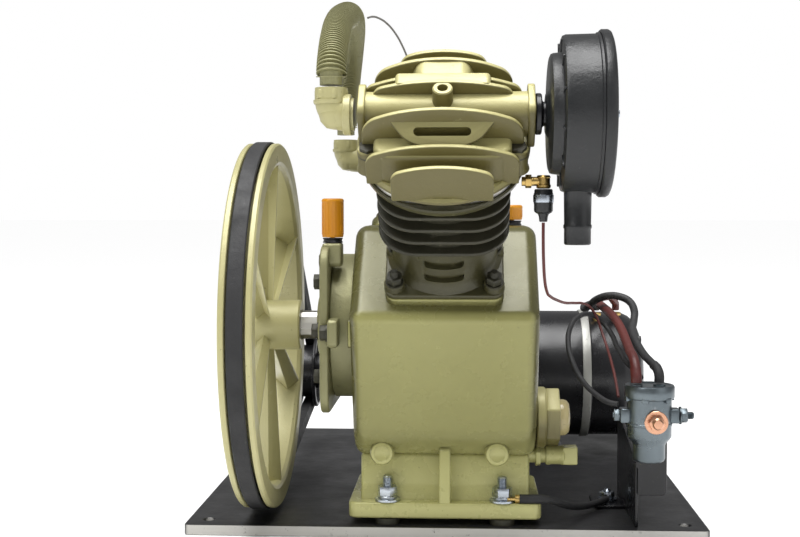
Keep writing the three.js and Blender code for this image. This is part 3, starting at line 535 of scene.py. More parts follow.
# Makes the object. It rides on the body, takes the finish, and stands for the CAD nodes that are named
def finishPiece(name, bm, finish, stands=(), smooth=35, body="frame", matrix=pumpFrame):
    bmesh.ops.transform(bm, matrix=matrix, verts=bm.verts)
    if matrix.determinant() < 0:
        bmesh.ops.reverse_faces(bm, faces=bm.faces)
    mesh = bpy.data.meshes.new(name)
    bm.to_mesh(mesh)
    bm.free()
    mesh.polygons.foreach_set("use_smooth", [True] * len(mesh.polygons))
    mesh.set_sharp_from_angle(angle=math.radians(smooth))
    piece = bpy.data.objects.new(name, mesh)
    bpy.context.scene.collection.objects.link(piece)
    mesh.materials.append(materials[finish])
    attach(piece, body)
    if stands:
        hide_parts(*stands)
    return piece


# Flywheel: rim with its belt groove, six tapered blades and a hub
wheel = {"centre": -177, "half": 15, "radius": 178, "inner": 155, "hub": 24.5, "hubEnd": -142, "bore": 14.3,
         "groove": 9.2, "floor": 166, "blades": 6}


def makeFlywheel():
    c, h, radius, inner = wheel["centre"], wheel["half"], wheel["radius"], wheel["inner"]
    groove, floor, hub, bore, end = (wheel[key] for key in ("groove", "floor", "hub", "bore", "hubEnd"))
    bm = bmesh.new()
    turned(bm, [(inner, c - h + 3), (inner + 1, c - h + 1.2), (inner + 3, c - h), (radius - 1.5, c - h),
                (radius, c - h + 1.5), (radius, c - groove - 0.6), (radius - 0.8, c - groove),
                (floor, c - 7.4), (floor, c + 7.4), (radius - 0.8, c + groove), (radius, c + groove + 0.6),
                (radius, c + h - 1.5), (radius - 1.5, c + h), (inner + 5, c + h), (inner + 2, c + h - 1.5),
                (inner, c + h - 5), (inner, c - h + 3)], "X", steps=144)
    turned(bm, [(bore, c - h + 0.6), (bore + 1, c - h), (hub - 1, c - h), (hub, c - h + 1), (hub, end - 1.5),
                (hub - 1.5, end), (bore + 1, end), (bore, end - 1), (bore, c - h + 0.6)], "X", steps=64)
    for i in range(wheel["blades"]):
        addBlade(bm, math.tau * i / wheel["blades"])
    finishPiece("flywheelCasting", bm, "paleRim", ["flywheel"], smooth=25, body="crank")


# Each blade is a V that widens towards the rim, with its ridge on the cylinders' side
def addBlade(bm, angle):
    c, outer = wheel["centre"], wheel["inner"] + 2
    part = bmesh.new()
    v = [(-13, -9), (2, 3), (13, -7), (13, -4), (2, 7), (-13, -6)]
    base = part.faces.new([part.verts.new((c + x * 0.5, y * 0.6, 20)) for x, y in v])
    grown = bmesh.ops.extrude_face_region(part, geom=[base])
    top = [e for e in grown["geom"] if isinstance(e, bmesh.types.BMVert)]
    bmesh.ops.translate(part, vec=(-c, 0, outer - 20), verts=top)
    bmesh.ops.scale(part, vec=(2, 1.667, 1), verts=top)
    bmesh.ops.translate(part, vec=(c, 0, 0), verts=top)
    roundEdges(part, 0.9, 2, 40)
    absorb(bm, part, Matrix.Rotation(angle, 4, "X"))


makeFlywheel()
print("flywheel ready")


# Crankcase: rounded box with two seats for the cylinders, on a broad foot
crankcase = {"half": 86, "corner": 16, "foot": (90.5, 66, 9), "footHeights": (-176, -161), "rib": 5.3,
             "bosses": (-59, 49), "seat": 53.5, "seatTop": 99.7, "hollow": (-78, 74), "bore": 41.5,
             "opening": 66}
footBolts = {"spread": (54, 56), "across": 17, "stud": 5,
             "corners": [("front", "left", -1, -1), ("front", "right", 1, -1), ("rear", "left", -1, 1),
                         ("rear", "right", 1, 1)]}


def makeCrankcase():
    half, (footX, footY, corner) = crankcase["half"], crankcase["foot"]
    seats = (frontSeat, rearSeat)
    bm = bmesh.new()
    body, hollow = bmesh.new(), bmesh.new()
    side = [(32, 98, 9), (112, 18, 8), (60, -122, 34), (0, -124)]
    side += [(-y, z, *r) for y, z, *r in reversed(side[:-1])]
    slab(body, side, "X", -half, half, edge=crankcase["corner"], segments=7, steps=9)
    inside = [(28, 88), (100, 14), (50, -108)]
    slab(hollow, inside + [(-y, z) for y, z in reversed(inside)], "X", *crankcase["hollow"])
    cutters = [barrel(crankcase["opening"], -95, -70, "X"), hollow, barrel(bearingSeat[0], 60, 82, "X")]
    cutters += [barrel(crankcase["bore"], 50, 108, "Z", seat) for seat in seats]
    subtractAll(bm, body, cutters)
    low, high = crankcase["footHeights"]
    slab(bm, rectangle(footX, footY, corner), "Z", low, high, edge=2.2)
    skirt = [(54, -164), (48, -152, 6), (45, -118), (-45, -118), (-48, -152, 6), (-54, -164)]
    slab(bm, skirt, "X", -80, 80, edge=4, segments=4)
    for sign in (-1, 1):
        rib = [(-65 * sign, -163), (-65 * sign, -158, 3), (-60 * sign, -110, 4), (-20 * sign, -110),
               (-20 * sign, -163)]
        slab(bm, rib, "X", -crankcase["rib"], crankcase["rib"], edge=2.4, segments=4)
        for x in crankcase["bosses"]:
            turned(bm, [(0, 48), (11.5, 48), (11.5, 61), (10, 63.4), (7.5, 63.9), (6, 63), (0, 62.6)], "Y",
                   (x * -sign, 0, -115), 40, flip=sign)
    slab(bm, block(-92, -72, -13, 13, 3), "X", -half - 2.6, -half + 8, edge=1.5)
    s = crankcase["seat"]
    outline = rectangle(s, s, 10)
    for seat in seats:
        pad = bmesh.new()
        slab(pad, outline, "Z", 86, crankcase["seatTop"], edge=2, matrix=seat)
        subtractAll(bm, pad, [barrel(crankcase["bore"], 80, 108, "Z", seat)])
    turned(bm, hoop(*bearingSeat, 60, 78), "X", steps=64)
    turned(bm, disc(44, 82, 86.2), "X", steps=48)
    # The olive paint carries painted shade on faces turned from the front and painted light near the plate
    finishPiece("crankcaseCasting", bm, "olivePaint", ["crankcase"])


def makeFootBolts():
    wide, deep = footBolts["spread"]
    for end, side, right, rear in footBolts["corners"]:
        x, y = right * wide, rear * deep
        bm = bmesh.new()
        turned(bm, [(0, -160.6), (12, -160.6), (12, -158.8), (11, -158.2), (0, -158.2)], "Z", (x, y, 0), 40)
        turned(bm, [(0, -158.2), (9, -158.2), (9.2, -156.4), (8.4, -155.6), (0, -155.6)], "Z", (x, y, 0), 32)
        nut(bm, footBolts["across"], "Z", (x, y, 0), -155.6, -147, turn=14 if x < 0 else 37)
        thread(bm, footBolts["stud"], 1.25, "Z", (x, y, 0), -148, -137)
        finishPiece(f"footBolt{end.title()}{side.title()}", bm, "zincPlate",
                    [f"foot_bolt_{end}_{side}"])


makeCrankcase()
makeFootBolts()
print("crankcase ready")


# Cylinders: square flange on studs, skirt with windows, four rounded fins and a round top flange
flange = (100.1, 105.5)
cylinders = {
    "front": {"node": "front_cylinder", "matrix": frontBank, "base": 53.5, "fin": 57, "from": 160,
              "pitch": 14.5, "deck": 228, "bore": 40, "skirt": 48, "window": 17, "windows": (117, 134)},
    "rear": {"node": "rear_cylinder", "matrix": rearBank, "base": 50, "fin": 44, "from": 136,
             "pitch": 13, "deck": 198, "bore": 26, "skirt": 35, "window": 13, "windows": (113, 124)},
}


def studPlaces(base):
    return [(x * (base - 9), y * (base - 11), 0) for x in (-1, 1) for y in (-1, 0, 1)]


def makeCylinder(name, look):
    base, fin, start = (look[key] for key in ("base", "fin", "from"))
    deck, skirt, bore = (look[key] for key in ("deck", "skirt", "bore"))
    bm = bmesh.new()
    plate = bmesh.new()
    slab(plate, rectangle(base, base, 9), "Z", *flange, edge=1.4)
    subtractAll(bm, plate, [barrel(bore, 95, 110)])
    shell, cutters = bmesh.new(), bmesh.new()
    turned(shell, [(bore, 104), (skirt + 6, 104), (skirt + 1.5, 109), (skirt, 114), (skirt, start + 1),
                   (bore, start + 1), (bore, 104)], "Z", (0, 0, 0), 96)
    w = look["window"]
    for side in (-1, 1):
        for low in look["windows"]:
            outer = side * (skirt + 8)
            slab(cutters, [(w, low, 2.5), (w + 1, low + 8.5, 2.5), (-w - 1, low + 8.5, 2.5),
                           (-w, low, 2.5)], "Y", min(outer, outer - side * 20),
                 max(outer, outer - side * 20), steps=5)
    subtract(bm, shell, cutters)
    liner, wall = bore + 3, bore + 9
    turned(bm, [(bore, 100.5), (liner, 100.5), (liner, start), (wall, start), (wall, deck - 3),
                (bore, deck - 3), (bore, 100.5)], "Z", (0, 0, 0), 96)
    fins, plates = bmesh.new(), bmesh.new()
    for i in range(4):
        low = start + i * look["pitch"]
        slab(plates, rectangle(fin, fin, fin * 0.6), "Z", low, low + 4, edge=1.5, segments=3, steps=14)
    subtractAll(fins, plates, [barrel(bore + 6, start - 5, deck)])
    turned(fins, hoop(bore + 5, wall + 0.6, start - 3, deck - 3), "Z", (0, 0, 0), 64)
    # The fins are painted near black: painted shade standing in for the shade between them
    finishPiece(name + "CylinderFins", fins, "darkIronAndFinShade", matrix=look["matrix"])
    top = fin + 12
    turned(bm, [(bore, deck - 8), (top - 2, deck - 8), (top, deck - 6), (top + 1, deck - 1.5),
                (top, deck - 0.1), (bore, deck - 0.1), (bore, deck - 8)], "Z", (0, 0, 0), 96)
    for at in studPlaces(base):
        turned(bm, [(0, 104), (9.6, 104), (9.2, 110.5), (8.2, 111.6), (0, 111.6)], "Z", at, 32)
    # The skirt, flanges and stud bosses take the shaded copy of the olive paint: painted shade
    finishPiece(name + "Cylinder", bm, "shadedSkirtPaint", [look["node"]], matrix=look["matrix"])


def makeStuds(name, look):
    bm = bmesh.new()
    for i, at in enumerate(studPlaces(look["base"])):
        nut(bm, smallNut, "Z", at, 113, 120.5, turn=25 * (i % 3) - 5, washer=8)
        thread(bm, 4, 1.25, "Z", at, 120, 126)
    finishPiece(name + "Studs", bm, "darkIronAndFinShade", matrix=look["matrix"])


for name, look in cylinders.items():
    makeCylinder(name, look)
    makeStuds(name, look)
print("cylinders ready")


# Heads: round flange, finned box and the port passage that runs across them.
# A fin is (place, height, half width, drop at its ends, corner)
heads = {
    "front": {"node": "front_head", "matrix": frontBank, "base": 237.2, "flange": 72, "box": (56, 52, 34),
              "port": 34, "ends": (-69, 75), "bosses": [(-61, -31), (61, -31)],
              "fins": [(-67, 38, 41, 8, 7), (-47, 43, 62, 12, 9), (-27, 64, 65.5, 15, 13), (6, 65, 58, 9, 9),
                       (18, 61.5, 65, 13, 8), (37, 63, 58, 15, 12), (57, 55.5, 37, 8, 9)]},
    "rear": {"node": "rear_head", "matrix": rearBank, "base": 207.2, "flange": 58, "box": (44, 42, 28),
             "port": 30, "ends": (-62, 62), "bosses": [],
             "fins": [(-48, 30, 34, 7, 6), (-31, 40, 50, 10, 8), (-13, 50, 52, 11, 10), (8, 52, 50, 9, 9),
                      (26, 50, 48, 11, 8), (44, 40, 34, 8, 7)]},
}


def makeHead(name, look):
    base, flange, port = look["base"], look["flange"], look["base"] + look["port"]
    halfX, halfY, top = look["box"]
    left, right = look["ends"]
    bm = bmesh.new()
    turned(bm, [(0, base), (flange - 0.5, base), (flange + 1, base + 1.2), (flange + 0.6, base + 3),
                (flange - 2, base + 5), (0, base + 5.6)], "Z", (0, 0, 0), 96)
    slab(bm, rectangle(halfX, halfY, 16), "Z", base + 3, base + top, edge=5, segments=5)
    for s, height, half, drop, corner in look["fins"]:
        arch = [(-half, base + 2), (half, base + 2), (half, base + height - drop, corner),
                (0, base + height + drop * 0.75, half * 0.8), (-half, base + height - drop, corner)]
        slab(bm, arch, "Y", s - 2.2, s + 2.2, edge=1.1, segments=3, steps=12)
    turned(bm, [(0, left), (18, left), (19, left + 1), (18.6, left + 10), (18.6, right - 10), (19, right - 1),
                (18, right), (0, right)], "X", (0, 0, port), 64)
    pad = [(20, port - look["port"] + 11, 9), (20, port + look["port"] - 13, 10),
           (-20, port + look["port"] - 13, 10), (-20, port - look["port"] + 11, 9)]
    slab(bm, pad, "X", left, left + 6, edge=1.2)
    slab(bm, pad, "X", right - 6, right, edge=1.2)
    for x, y in look["bosses"]:
        turned(bm, [(0, base + 3), (10, base + 3), (8.6, base + 8), (8.4, base + 24), (7.6, base + 25),
                    (4.2, base + 25), (4, base + 24), (4, base + 19), (0, base + 19)], "Z", (x, y, 0), 40)
    if look["bosses"]:
        addWebs(bm, base)
    # The heads take the lit pale paint: painted light on their tops, painted shade on the faces that look
    # down
    finishPiece(name + "Head", bm, "litPalePaint", [look["node"]], matrix=look["matrix"])


# The sloped web with its slot, the middle boss and the small bridge between the upper fins
def addWebs(bm, base):
    tilt = Matrix.Translation((0, -27, base + 53)) @ Matrix.Rotation(math.radians(36), 4, "X")
    web, slot = bmesh.new(), bmesh.new()
    slab(web, [(46, 2, 3), (-46, 2, 3), (-26, -22, 12), (26, -22, 12)], "Z", -5, 0, edge=1, steps=8,
         matrix=tilt)
    slab(slot, block(23, -23, -7, -14, 3.4), "Z", -9, 4, steps=8, matrix=tilt)
    subtract(bm, web, slot)
    turned(bm, [(0, base + 40), (11, base + 46), (8.4, base + 53), (8.2, base + 63), (7.2, base + 64),
                (4.4, base + 64), (4, base + 63), (4, base + 56), (0, base + 56)], "Z", (0, -2, 0), 40)
    slab(bm, [(39, base + 50), (39, base + 62.5, 4), (-39, base + 62.5, 4), (-39, base + 50)], "Y", 5, 19,
         edge=1.5)
    slab(bm, [(26, base + 48), (20, base + 61, 6), (-20, base + 61, 6), (-26, base + 48)], "Y", 17, 38,
         edge=2)


for name, look in heads.items():
    makeHead(name, look)
print("heads ready")


# Belt and motor pulley
beltLook = {"width": 15, "outer": 179.5, "pulley": 46, "thick": 11}


def makeBelt():
    y, z = motorAxis
    reach, lean = math.hypot(y, z), math.atan2(z, y)
    big, small, half = beltLook["outer"], beltLook["pulley"], beltLook["width"] / 2
    c = wheel["centre"]
    wrap = math.acos((big - small) / reach)
    bm = bmesh.new()
    depth = beltLook["thick"]
    section = [(-depth, c - half * 0.72), (-1.2, c - half), (0, c - half * 0.86), (0, c + half * 0.86),
               (-1.2, c + half), (-depth, c + half * 0.72)]
    ring = [bm.verts.new((x, r, 0)) for r, x in section]
    face = bm.faces.new(ring)
    start = lean + wrap
    bmesh.ops.translate(bm, vec=(0, big, 0), verts=ring)
    bmesh.ops.rotate(bm, cent=(0, 0, 0), matrix=Matrix.Rotation(start, 3, "X"), verts=ring)
    edges = face.edges[:]
    bmesh.ops.delete(bm, geom=[face], context="FACES_ONLY")
    made = bmesh.ops.spin(bm, geom=edges, cent=(0, 0, 0), axis=(1, 0, 0), angle=math.tau - 2 * wrap,
                          steps=110)
    bigEdges = [e for e in made["geom_last"] if isinstance(e, bmesh.types.BMEdge)]
    small0 = [bm.verts.new((x, r + small, 0)) for r, x in section]
    bmesh.ops.rotate(bm, cent=(0, 0, 0), matrix=Matrix.Rotation(lean - wrap, 3, "X"), verts=small0)
    bmesh.ops.translate(bm, vec=(0, y, z), verts=small0)
    smallEdges = [bm.edges.new((small0[i], small0[(i + 1) % 6])) for i in range(6)]
    turn = bmesh.ops.spin(bm, geom=small0 + smallEdges, cent=(0, y, z), axis=(1, 0, 0), angle=2 * wrap,
                          steps=40)
    endEdges = [e for e in turn["geom_last"] if isinstance(e, bmesh.types.BMEdge)]
    bmesh.ops.bridge_loops(bm, edges=bigEdges + smallEdges)
    bmesh.ops.bridge_loops(bm, edges=endEdges + edges)
    whole = bmesh.new()
    absorb(whole, bm)
    finishPiece("driveBelt", whole, "blackRubber", ["v_belt"], smooth=28)


def makePulley():
    c = wheel["centre"]
    bm = bmesh.new()
    turned(bm, [(9.8, c - 12.5), (11, c - 13), (43, c - 13), (44.5, c - 11.8), (44.5, c - 9.6),
                (44, c - 9.2), (32.5, c - 7.4), (32.5, c + 7.4), (44, c + 9.2), (44.5, c + 9.6),
                (44.5, c + 11.8), (43, c + 13), (40, c + 13), (38, c + 8), (24, c + 8), (22, c + 10),
                (22, c + 32.8), (20.8, c + 34), (10.6, c + 34), (9.8, c + 33), (9.8, c - 12.5)], "X",
           (0, *motorAxis), 72)
    finishPiece("motorPulley", bm, "blackPaint", ["motor_pulley"], 30, "motor_rotor")


makeBelt()
makePulley()
print("drive ready")


# Flywheel's bolt and its washer, on the crankshaft's end
def makeFlywheelBolt():
    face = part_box("flywheel_bolt")[0].x * 1000
    bm = bmesh.new()
    turned(bm, [(0, face + 8.2), (18, face + 8.2), (19, face + 9.2), (19, face + 12.9), (0, face + 12.9)],
           "X", steps=48)
    nut(bm, 24, "X", (0, 0, 0), face, face + 8.4, turn=12)
    finishPiece("flywheelBolt", bm, "zincPlate", ["flywheel_bolt"], body="crank")


makeFlywheelBolt()


# Bearing cover: rounded square plate with eight bolts, a drum, a boss, a lug and the oil filler's block
cover = {"half": (77, 79, 22), "plate": (-116, -108), "bolts": [(63, 0), (-63, 0), (45, 45), (45, -45),
         (-45, 45), (-45, -45), (0, 63), (0, -63)]}


def makeBearingCover():
    y, z, corner = cover["half"]
    left, right = cover["plate"]
    bm = bmesh.new()
    plate, hole = bmesh.new(), bmesh.new()
    slab(plate, block(y, -y, z + 1, -z + 1, corner), "X", left, right, edge=1.8, steps=10)
    turned(hole, disc(15.2, left - 9, right + 9), "X")
    subtract(bm, plate, hole)
    turned(bm, [(52, right - 0.4), (68, right - 0.4), (70, right + 1.5), (70, -87.5), (69, -86.4),
                (52, -86.4), (52, right - 0.4)], "X", steps=96)
    turned(bm, [(15.2, -123), (16.4, -124), (28.5, -124), (30, -122.6), (31, -118), (35, -115.4),
                (15.2, -115.4), (15.2, -123)], "X", steps=64)
    turned(bm, hoop(*bearingSeat, -109, -88), "X", steps=64)
    slab(bm, [(-92, -13, 5), (-60, -13), (-60, 13), (-92, 13, 5)], "X", -107.4, -98, edge=2, segments=4)
    slab(bm, [(-62, 60, 6), (-38, 60, 6), (-38, 82, 3), (-62, 82, 3)], "X", -115, -97, edge=2.2, segments=4)
    for cy, cz in cover["bolts"]:
        turned(bm, [(0, left - 2), (9, left - 2), (10.4, left + 0.5), (0, left + 0.5)], "X", (0, cy, cz), 32)
    finishPiece("bearingCoverCasting", bm, "coverPaint", ["bearing_cover"])
    bolts = bmesh.new()
    for i, (cy, cz) in enumerate(cover["bolts"]):
        nut(bolts, smallNut, "X", (0, cy, cz), left - 8.5, left - 3, turn=i * 17, washer=0)
        turned(bolts, disc(8.4, left - 3.2, left - 1.9), "X", (0, cy, cz), 32)
    nut(bolts, smallNut, "X", (0, -82, 0), -114.8, -109.2, turn=8)
    turned(bolts, disc(8.2, -109.4, -107.5), "X", (0, -82, 0), 32)
    finishPiece("bearingCoverBolts", bolts, "darkIronAndFinShade")


makeBearingCover()
print("cover ready")


# Oil filler and breather: black necks with orange push-in caps
caps = {"oilFiller": {"at": (-106, -50, 82), "height": 42, "cap": "oil_filler_cap", "neck": "oil_filler_neck",
                      "body": "filler_cap", "radius": 10},
        "breather": {"at": (64, 0, 98), "height": 20, "cap": "breather_cap", "neck": "breather_neck",
                     "body": "breather_cap", "radius": 10}}


def makeCap(name, look):
    x, y, z = look["at"]
    top, r = z + look["height"], look["radius"]
    bm = bmesh.new()
    turned(bm, [(3.2, z + 0.3), (9.4, z + 0.3), (9.4, z + 1.2), (8.8, z + 1.8), (8.8, z + 3.4), (9.4, z + 4),
                (9.4, z + 4.9), (3.2, z + 4.9), (3.2, z + 0.3)], "Z", (x, y, 0), 48)
    finishPiece(name + "Neck", bm, "blackPaint", [look["neck"]])
    bm = bmesh.new()
    turned(bm, [(0, z + 5.5), (r - 0.6, z + 5.5), (r, z + 6.3), (r + 0.2, top - 4), (r + 0.4, top - 3.4),
                (r + 0.4, top - 1.6), (r - 0.4, top - 0.4), (r - 2, top), (r - 3.4, top - 0.2),
                (r - 4, top - 0.9), (0, top - 0.9)], "Z", (x, y, 0), 64)
    ribTop = top - 4.4
    for i in range(20):
        angle = Matrix.Translation((x, y, 0)) @ Matrix.Rotation(math.tau * i / 20, 4, "Z")
        slab(bm, [(r - 1, -0.6), (r + 0.35, -0.35), (r + 0.35, 0.35), (r - 1, 0.6)], "Z", z + 8, ribTop,
             matrix=angle)
    turned(bm, [(0, z - 9.8), (1.9, z - 9.8), (2.3, z - 9), (2.3, z + 6), (0, z + 6)], "Z", (x, y, 0), 24)
    finishPiece(name + "Cap", bm, "orangePlastic", [look["cap"]], body=look["body"])


for name, look in caps.items():
    makeCap(name, look)
print("caps ready")


# Air filter: nipple, flat can with a snorkel, and a dished lid held by a nut
filterLook = {"step": 86.5, "can": 95.5, "lid": 126.4, "end": 137, "radius": 64, "lidRadius": 68}
intakeAt = (0, -191.8, 191.8)
intake = Matrix.Translation(intakeAt)


def makeFilter():
    step, can, lid, end = (filterLook[key] for key in ("step", "can", "lid", "end"))
    radius, lidRadius = filterLook["radius"], filterLook["lidRadius"]
    at = intakeAt
    bm = bmesh.new()
    turned(bm, [(8, 75.3), (16, 75.3), (17, 76.3), (17, 79.5), (16, 80.5), (11.4, 81), (10, 82),
                (10, step + 12), (8, step + 12), (8, 75.3)], "X", at, 64)
    finishPiece("filterNipple", bm, "blackPaint", ["filter_nipple"])
    bm = bmesh.new()
    turned(bm, [(11, 83.6), (16, 83.6), (17.5, 84.6), (17.5, step - 2), (20, step - 0.4), (46, step),
                (48.4, step + 1), (49.2, step + 3), (49.6, can - 2), (51, can), (radius - 4, can + 0.3),
                (radius - 1, can + 1.2), (radius, can + 3.6), (radius + 0.6, lid - 3),
                (radius + 1.6, lid - 2.2), (radius + 1.6, lid - 0.4), (radius - 2, lid - 0.4),
                (radius - 3, can + 4), (52, can + 3), (11, can + 3), (11, 83.6)], "X", at, 96)
    for i in range(12):
        turn = intake @ Matrix.Rotation(math.tau * (i + 0.5) / 12, 4, "X")
        slab(bm, block(50, 61, -0.9, 0.9), "X", can - 1, can + 1.2, edge=0.4, matrix=turn)
    turned(bm, [(8.5, -radius - 43), (10, -radius - 43), (11, -radius - 42), (11, -radius - 30),
                (11.6, -radius - 29), (11.6, -radius - 27), (11, -radius - 26), (11.4, -radius + 1),
                (14, -radius + 6), (8.5, -radius + 6), (8.5, -radius - 43)], "Z", (110.5, at[1], at[2]), 48)
    finishPiece("filterCan", bm, "blackPlastic", ["filter_body"])
    bm = bmesh.new()
    turned(bm, [(0, lid), (lidRadius - 1, lid), (lidRadius, lid + 1.2), (lidRadius, end - 4.4),
                (lidRadius - 1.2, end - 2.4), (lidRadius - 3.6, end - 1.4), (lidRadius - 8, end - 1.6),
                (lidRadius - 10, end - 2.8), (34, end - 2.6), (31, end - 1), (29, end - 0.4), (12, end - 0.4),
                (10, end - 1.4), (0, end - 1.4)], "X", at, 112)
    finishPiece("filterLid", bm, "blackPlastic", ["filter_lid"])
    bm = bmesh.new()
    turned(bm, disc(9, end - 1.6, end - 0.4), "X", at, 40)
    nut(bm, smallNut, "X", at, end - 0.4, end + 4, turn=12)
    thread(bm, 4, 1.25, "X", at, end + 3, end + 7)
    finishPiece("filterNut", bm, "zincPlate")


# Pleated paper ring inside the can
def makeElement():
    bm = bmesh.new()
    turned(bm, [(39, 99.8), (57, 99.8), (57.6, 100.4), (57.6, 102.4), (39, 102.4), (39, 99.8)], "X",
           intakeAt, 60)
    turned(bm, hoop(39, 57.6, 122.6, 125.2), "X", intakeAt, 60)
    for i in range(72):
        turn = intake @ Matrix.Rotation(math.tau * i / 72, 4, "X")
        slab(bm, [(40, -0.3), (56.6, -1.9), (57, -1.3), (40, 0.6)], "X", 102, 123, matrix=turn)
    finishPiece("filterPleats", bm, "filterPaper", ["filter_element"])


makeFilter()
makeElement()
print("filter ready")


# Delivery pipe between the heads: elbows with hexagonal nuts, and a pipe wound with a thin fin
pipe = {"radius": 9.6, "fin": 12.5, "pitch": 2.7, "thick": 0.8, "bare": 7, "route": [
    (-92, -192, 216), (-92, -192, 227), (-92, -182, 242), (-92, -158, 262), (-92, -130, 276), (-91, -92, 287),
    (-90, -40, 295), (-93, 20, 292), (-99, 76, 279), (-106, 122, 254), (-111, 152, 228), (-114, 168.5, 208),
    (-114, 168.5, 196)]}


def makeIntercooler():
    bm = bmesh.new()
    route = [Vector(p) for p in pipe["route"]]
    swept(bm, route, pipe["radius"], 8)
    mesh = meshOf(smoothCurve("line", route, 24))
    points = [v.co.copy() for v in mesh.vertices]
    bpy.data.meshes.remove(mesh)
    walked, due = 0, pipe["bare"]
    total = sum((b - a).length for a, b in zip(points, points[1:]))
    for a, b in zip(points, points[1:]):
        step = (b - a).length
        while walked + step > due and due < total - pipe["bare"]:
            centre = a.lerp(b, (due - walked) / step)
            lean = Matrix.Translation(centre) @ (b - a).to_track_quat("Z", "Y").to_matrix().to_4x4()
            part = bmesh.new()
            bmesh.ops.create_cone(part, cap_ends=True, segments=32, radius1=pipe["fin"], radius2=pipe["fin"],
                                  depth=pipe["thick"])
            absorb(bm, part, lean @ Matrix.Rotation(math.radians(4), 4, "X"))
            due += pipe["pitch"]
        walked += step
    finishPiece("finnedPipe", bm, "oliveDull", ["intercooler"])


def makeElbow(name, node, y, z, start, x):
    bm = bmesh.new()
    route = [(start, y, z), (start - 4, y, z), (x + 13, y, z), (x + 5, y, z + 2), (x + 1, y, z + 7),
             (x, y, z + 14), (x, y, z + 22)]
    swept(bm, route, 13.6, 12)
    turned(bm, [(0, -13.4), (7, -12), (12, -6.6), (13.8, 0), (12, 6.6), (7, 12), (0, 13.4)], "Z",
           (x + 3, y, z + 1), 48)
    turned(bm, [(8, start - 9), (16, start - 9), (17, start - 8), (17, start - 3), (16, start - 2.2),
                (8, start - 2.2), (8, start - 9)], "X", (0, y, z), 56)
    nut(bm, 25.5, "Z", (x, y, 0), z + 12.5, z + 20.6, turn=18)
    turned(bm, [(0, z + 8), (14.2, z + 8.6), (14.8, z + 10), (14.8, z + 12), (0, z + 13)], "Z", (x, y, 0), 56)
    finishPiece(name, bm, "paleRim", [node])


makeIntercooler()
for name, node in (("frontElbow", "front_elbow"), ("rearElbow", "rear_elbow")):
    low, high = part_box(node)
    front = name.startswith("front")
    makeElbow(name, node, -191.8 if front else 168.5, 191.8 if front else 168.5, high.x * 1000,
              -92 if front else -114)
print("pipe ready")


# Motor: drive bell, wound shell with a grey band, end bell with terminal posts, and the saddle beneath
motorLook = {"radius": 76.5, "shell": (-20, 160), "end": 235, "drive": -60,
             "posts": [(178, 300), (202, 306)]}


def makeMotor():
    r, (left, right), end, drive = (motorLook[key] for key in ("radius", "shell", "end", "drive"))
    at = (0, *motorAxis)
    bm = bmesh.new()
    turned(bm, [(70, left + 0.4), (r - 0.5, left + 0.4), (r, left + 1), (r, right - 1),
                (r - 0.5, right - 0.4), (70, right - 0.4), (70, left + 0.4)], "X", at, 112)
    for turn in (45, 135, 225, 315):
        spin = Matrix.Translation(at) @ Matrix.Rotation(math.radians(turn), 4, "X")
        for x in (left + 50, right - 62):
            part = bmesh.new()
            turned(part, [(0, r - 2), (5.4, r - 2), (5.6, r - 0.2), (5.2, r + 0.3), (1.6, r + 0.3),
                          (1.2, r - 0.4), (0, r - 0.4)], "Z", (x, 0, 0), 28)
            absorb(bm, part, spin)
    finishPiece("motorShell", bm, "blackPaint", ["motor_shell"])
    bm = bmesh.new()
    turned(bm, [(10, drive), (29, drive), (30.4, drive + 1.4), (34, drive + 10), (37, drive + 12),
                (62, drive + 20), (66, drive + 22), (72, drive + 27), (74, drive + 30), (76, drive + 36),
                (76.2, left - 0.6), (75.6, left), (69, left), (66, drive + 33), (28, drive + 21),
                (26, drive + 14), (10, drive + 12), (10, drive)], "X", at, 96)
    for i in range(6):
        spin = Matrix.Translation(at) @ Matrix.Rotation(math.tau * i / 6, 4, "X")
        slab(bm, block(34, 70, -2.4, 2.4), "X", drive + 13, drive + 27, edge=1.2, matrix=spin)
    finishPiece("motorDriveBell", bm, "blackPaint", ["motor_drive_bell"])
    bm = bmesh.new()
    turned(bm, [(69, right), (77.6, right), (78, right + 0.5), (78, right + 8.5), (77.4, right + 9.2),
                (76, right + 10), (75.6, right + 24), (75.6, end - 28), (75, end - 25), (71, end - 16),
                (64, end - 8), (52, end - 3), (40, end - 0.3), (22, end), (20, end - 2), (0, end - 2),
                (0, end - 6), (38, end - 6), (60, end - 14), (69, end - 28), (69, right)], "X", at, 96)
    for i in range(4):
        spin = Matrix.Translation(at) @ Matrix.Rotation(math.radians(40 + 90 * i), 4, "X")
        part = bmesh.new()
        nut(part, 10, "X", (0, 58, 0), end - 11, end - 4, turn=10)
        absorb(bm, part, spin)
    finishPiece("motorEndBell", bm, "blackPaint", ["motor_end_bell"])
    bm = bmesh.new()
    turned(bm, [(r - 1, right - 1.2), (r + 1.2, right - 1.2), (78.3, right), (78.3, right + 8),
                (77.6, right + 8.8), (74, right + 8.8), (r - 1, right - 1.2)], "X", at, 112)
    finishPiece("motorBand", bm, "greyBand")
    bm = bmesh.new()
    for x, y in motorLook["posts"]:
        post = (x, y, motorAxis[1])
        turned(bm, disc(4, 62, 77.6), "Z", post, 32)
        nut(bm, 11, "Z", post, 73.5, 77.4, turn=x)
    finishPiece("motorPosts", bm, "yellowBrass")


saddle = {"foot": (2, 138, 258, 402), "cheeks": (14, 119), "thick": 7}


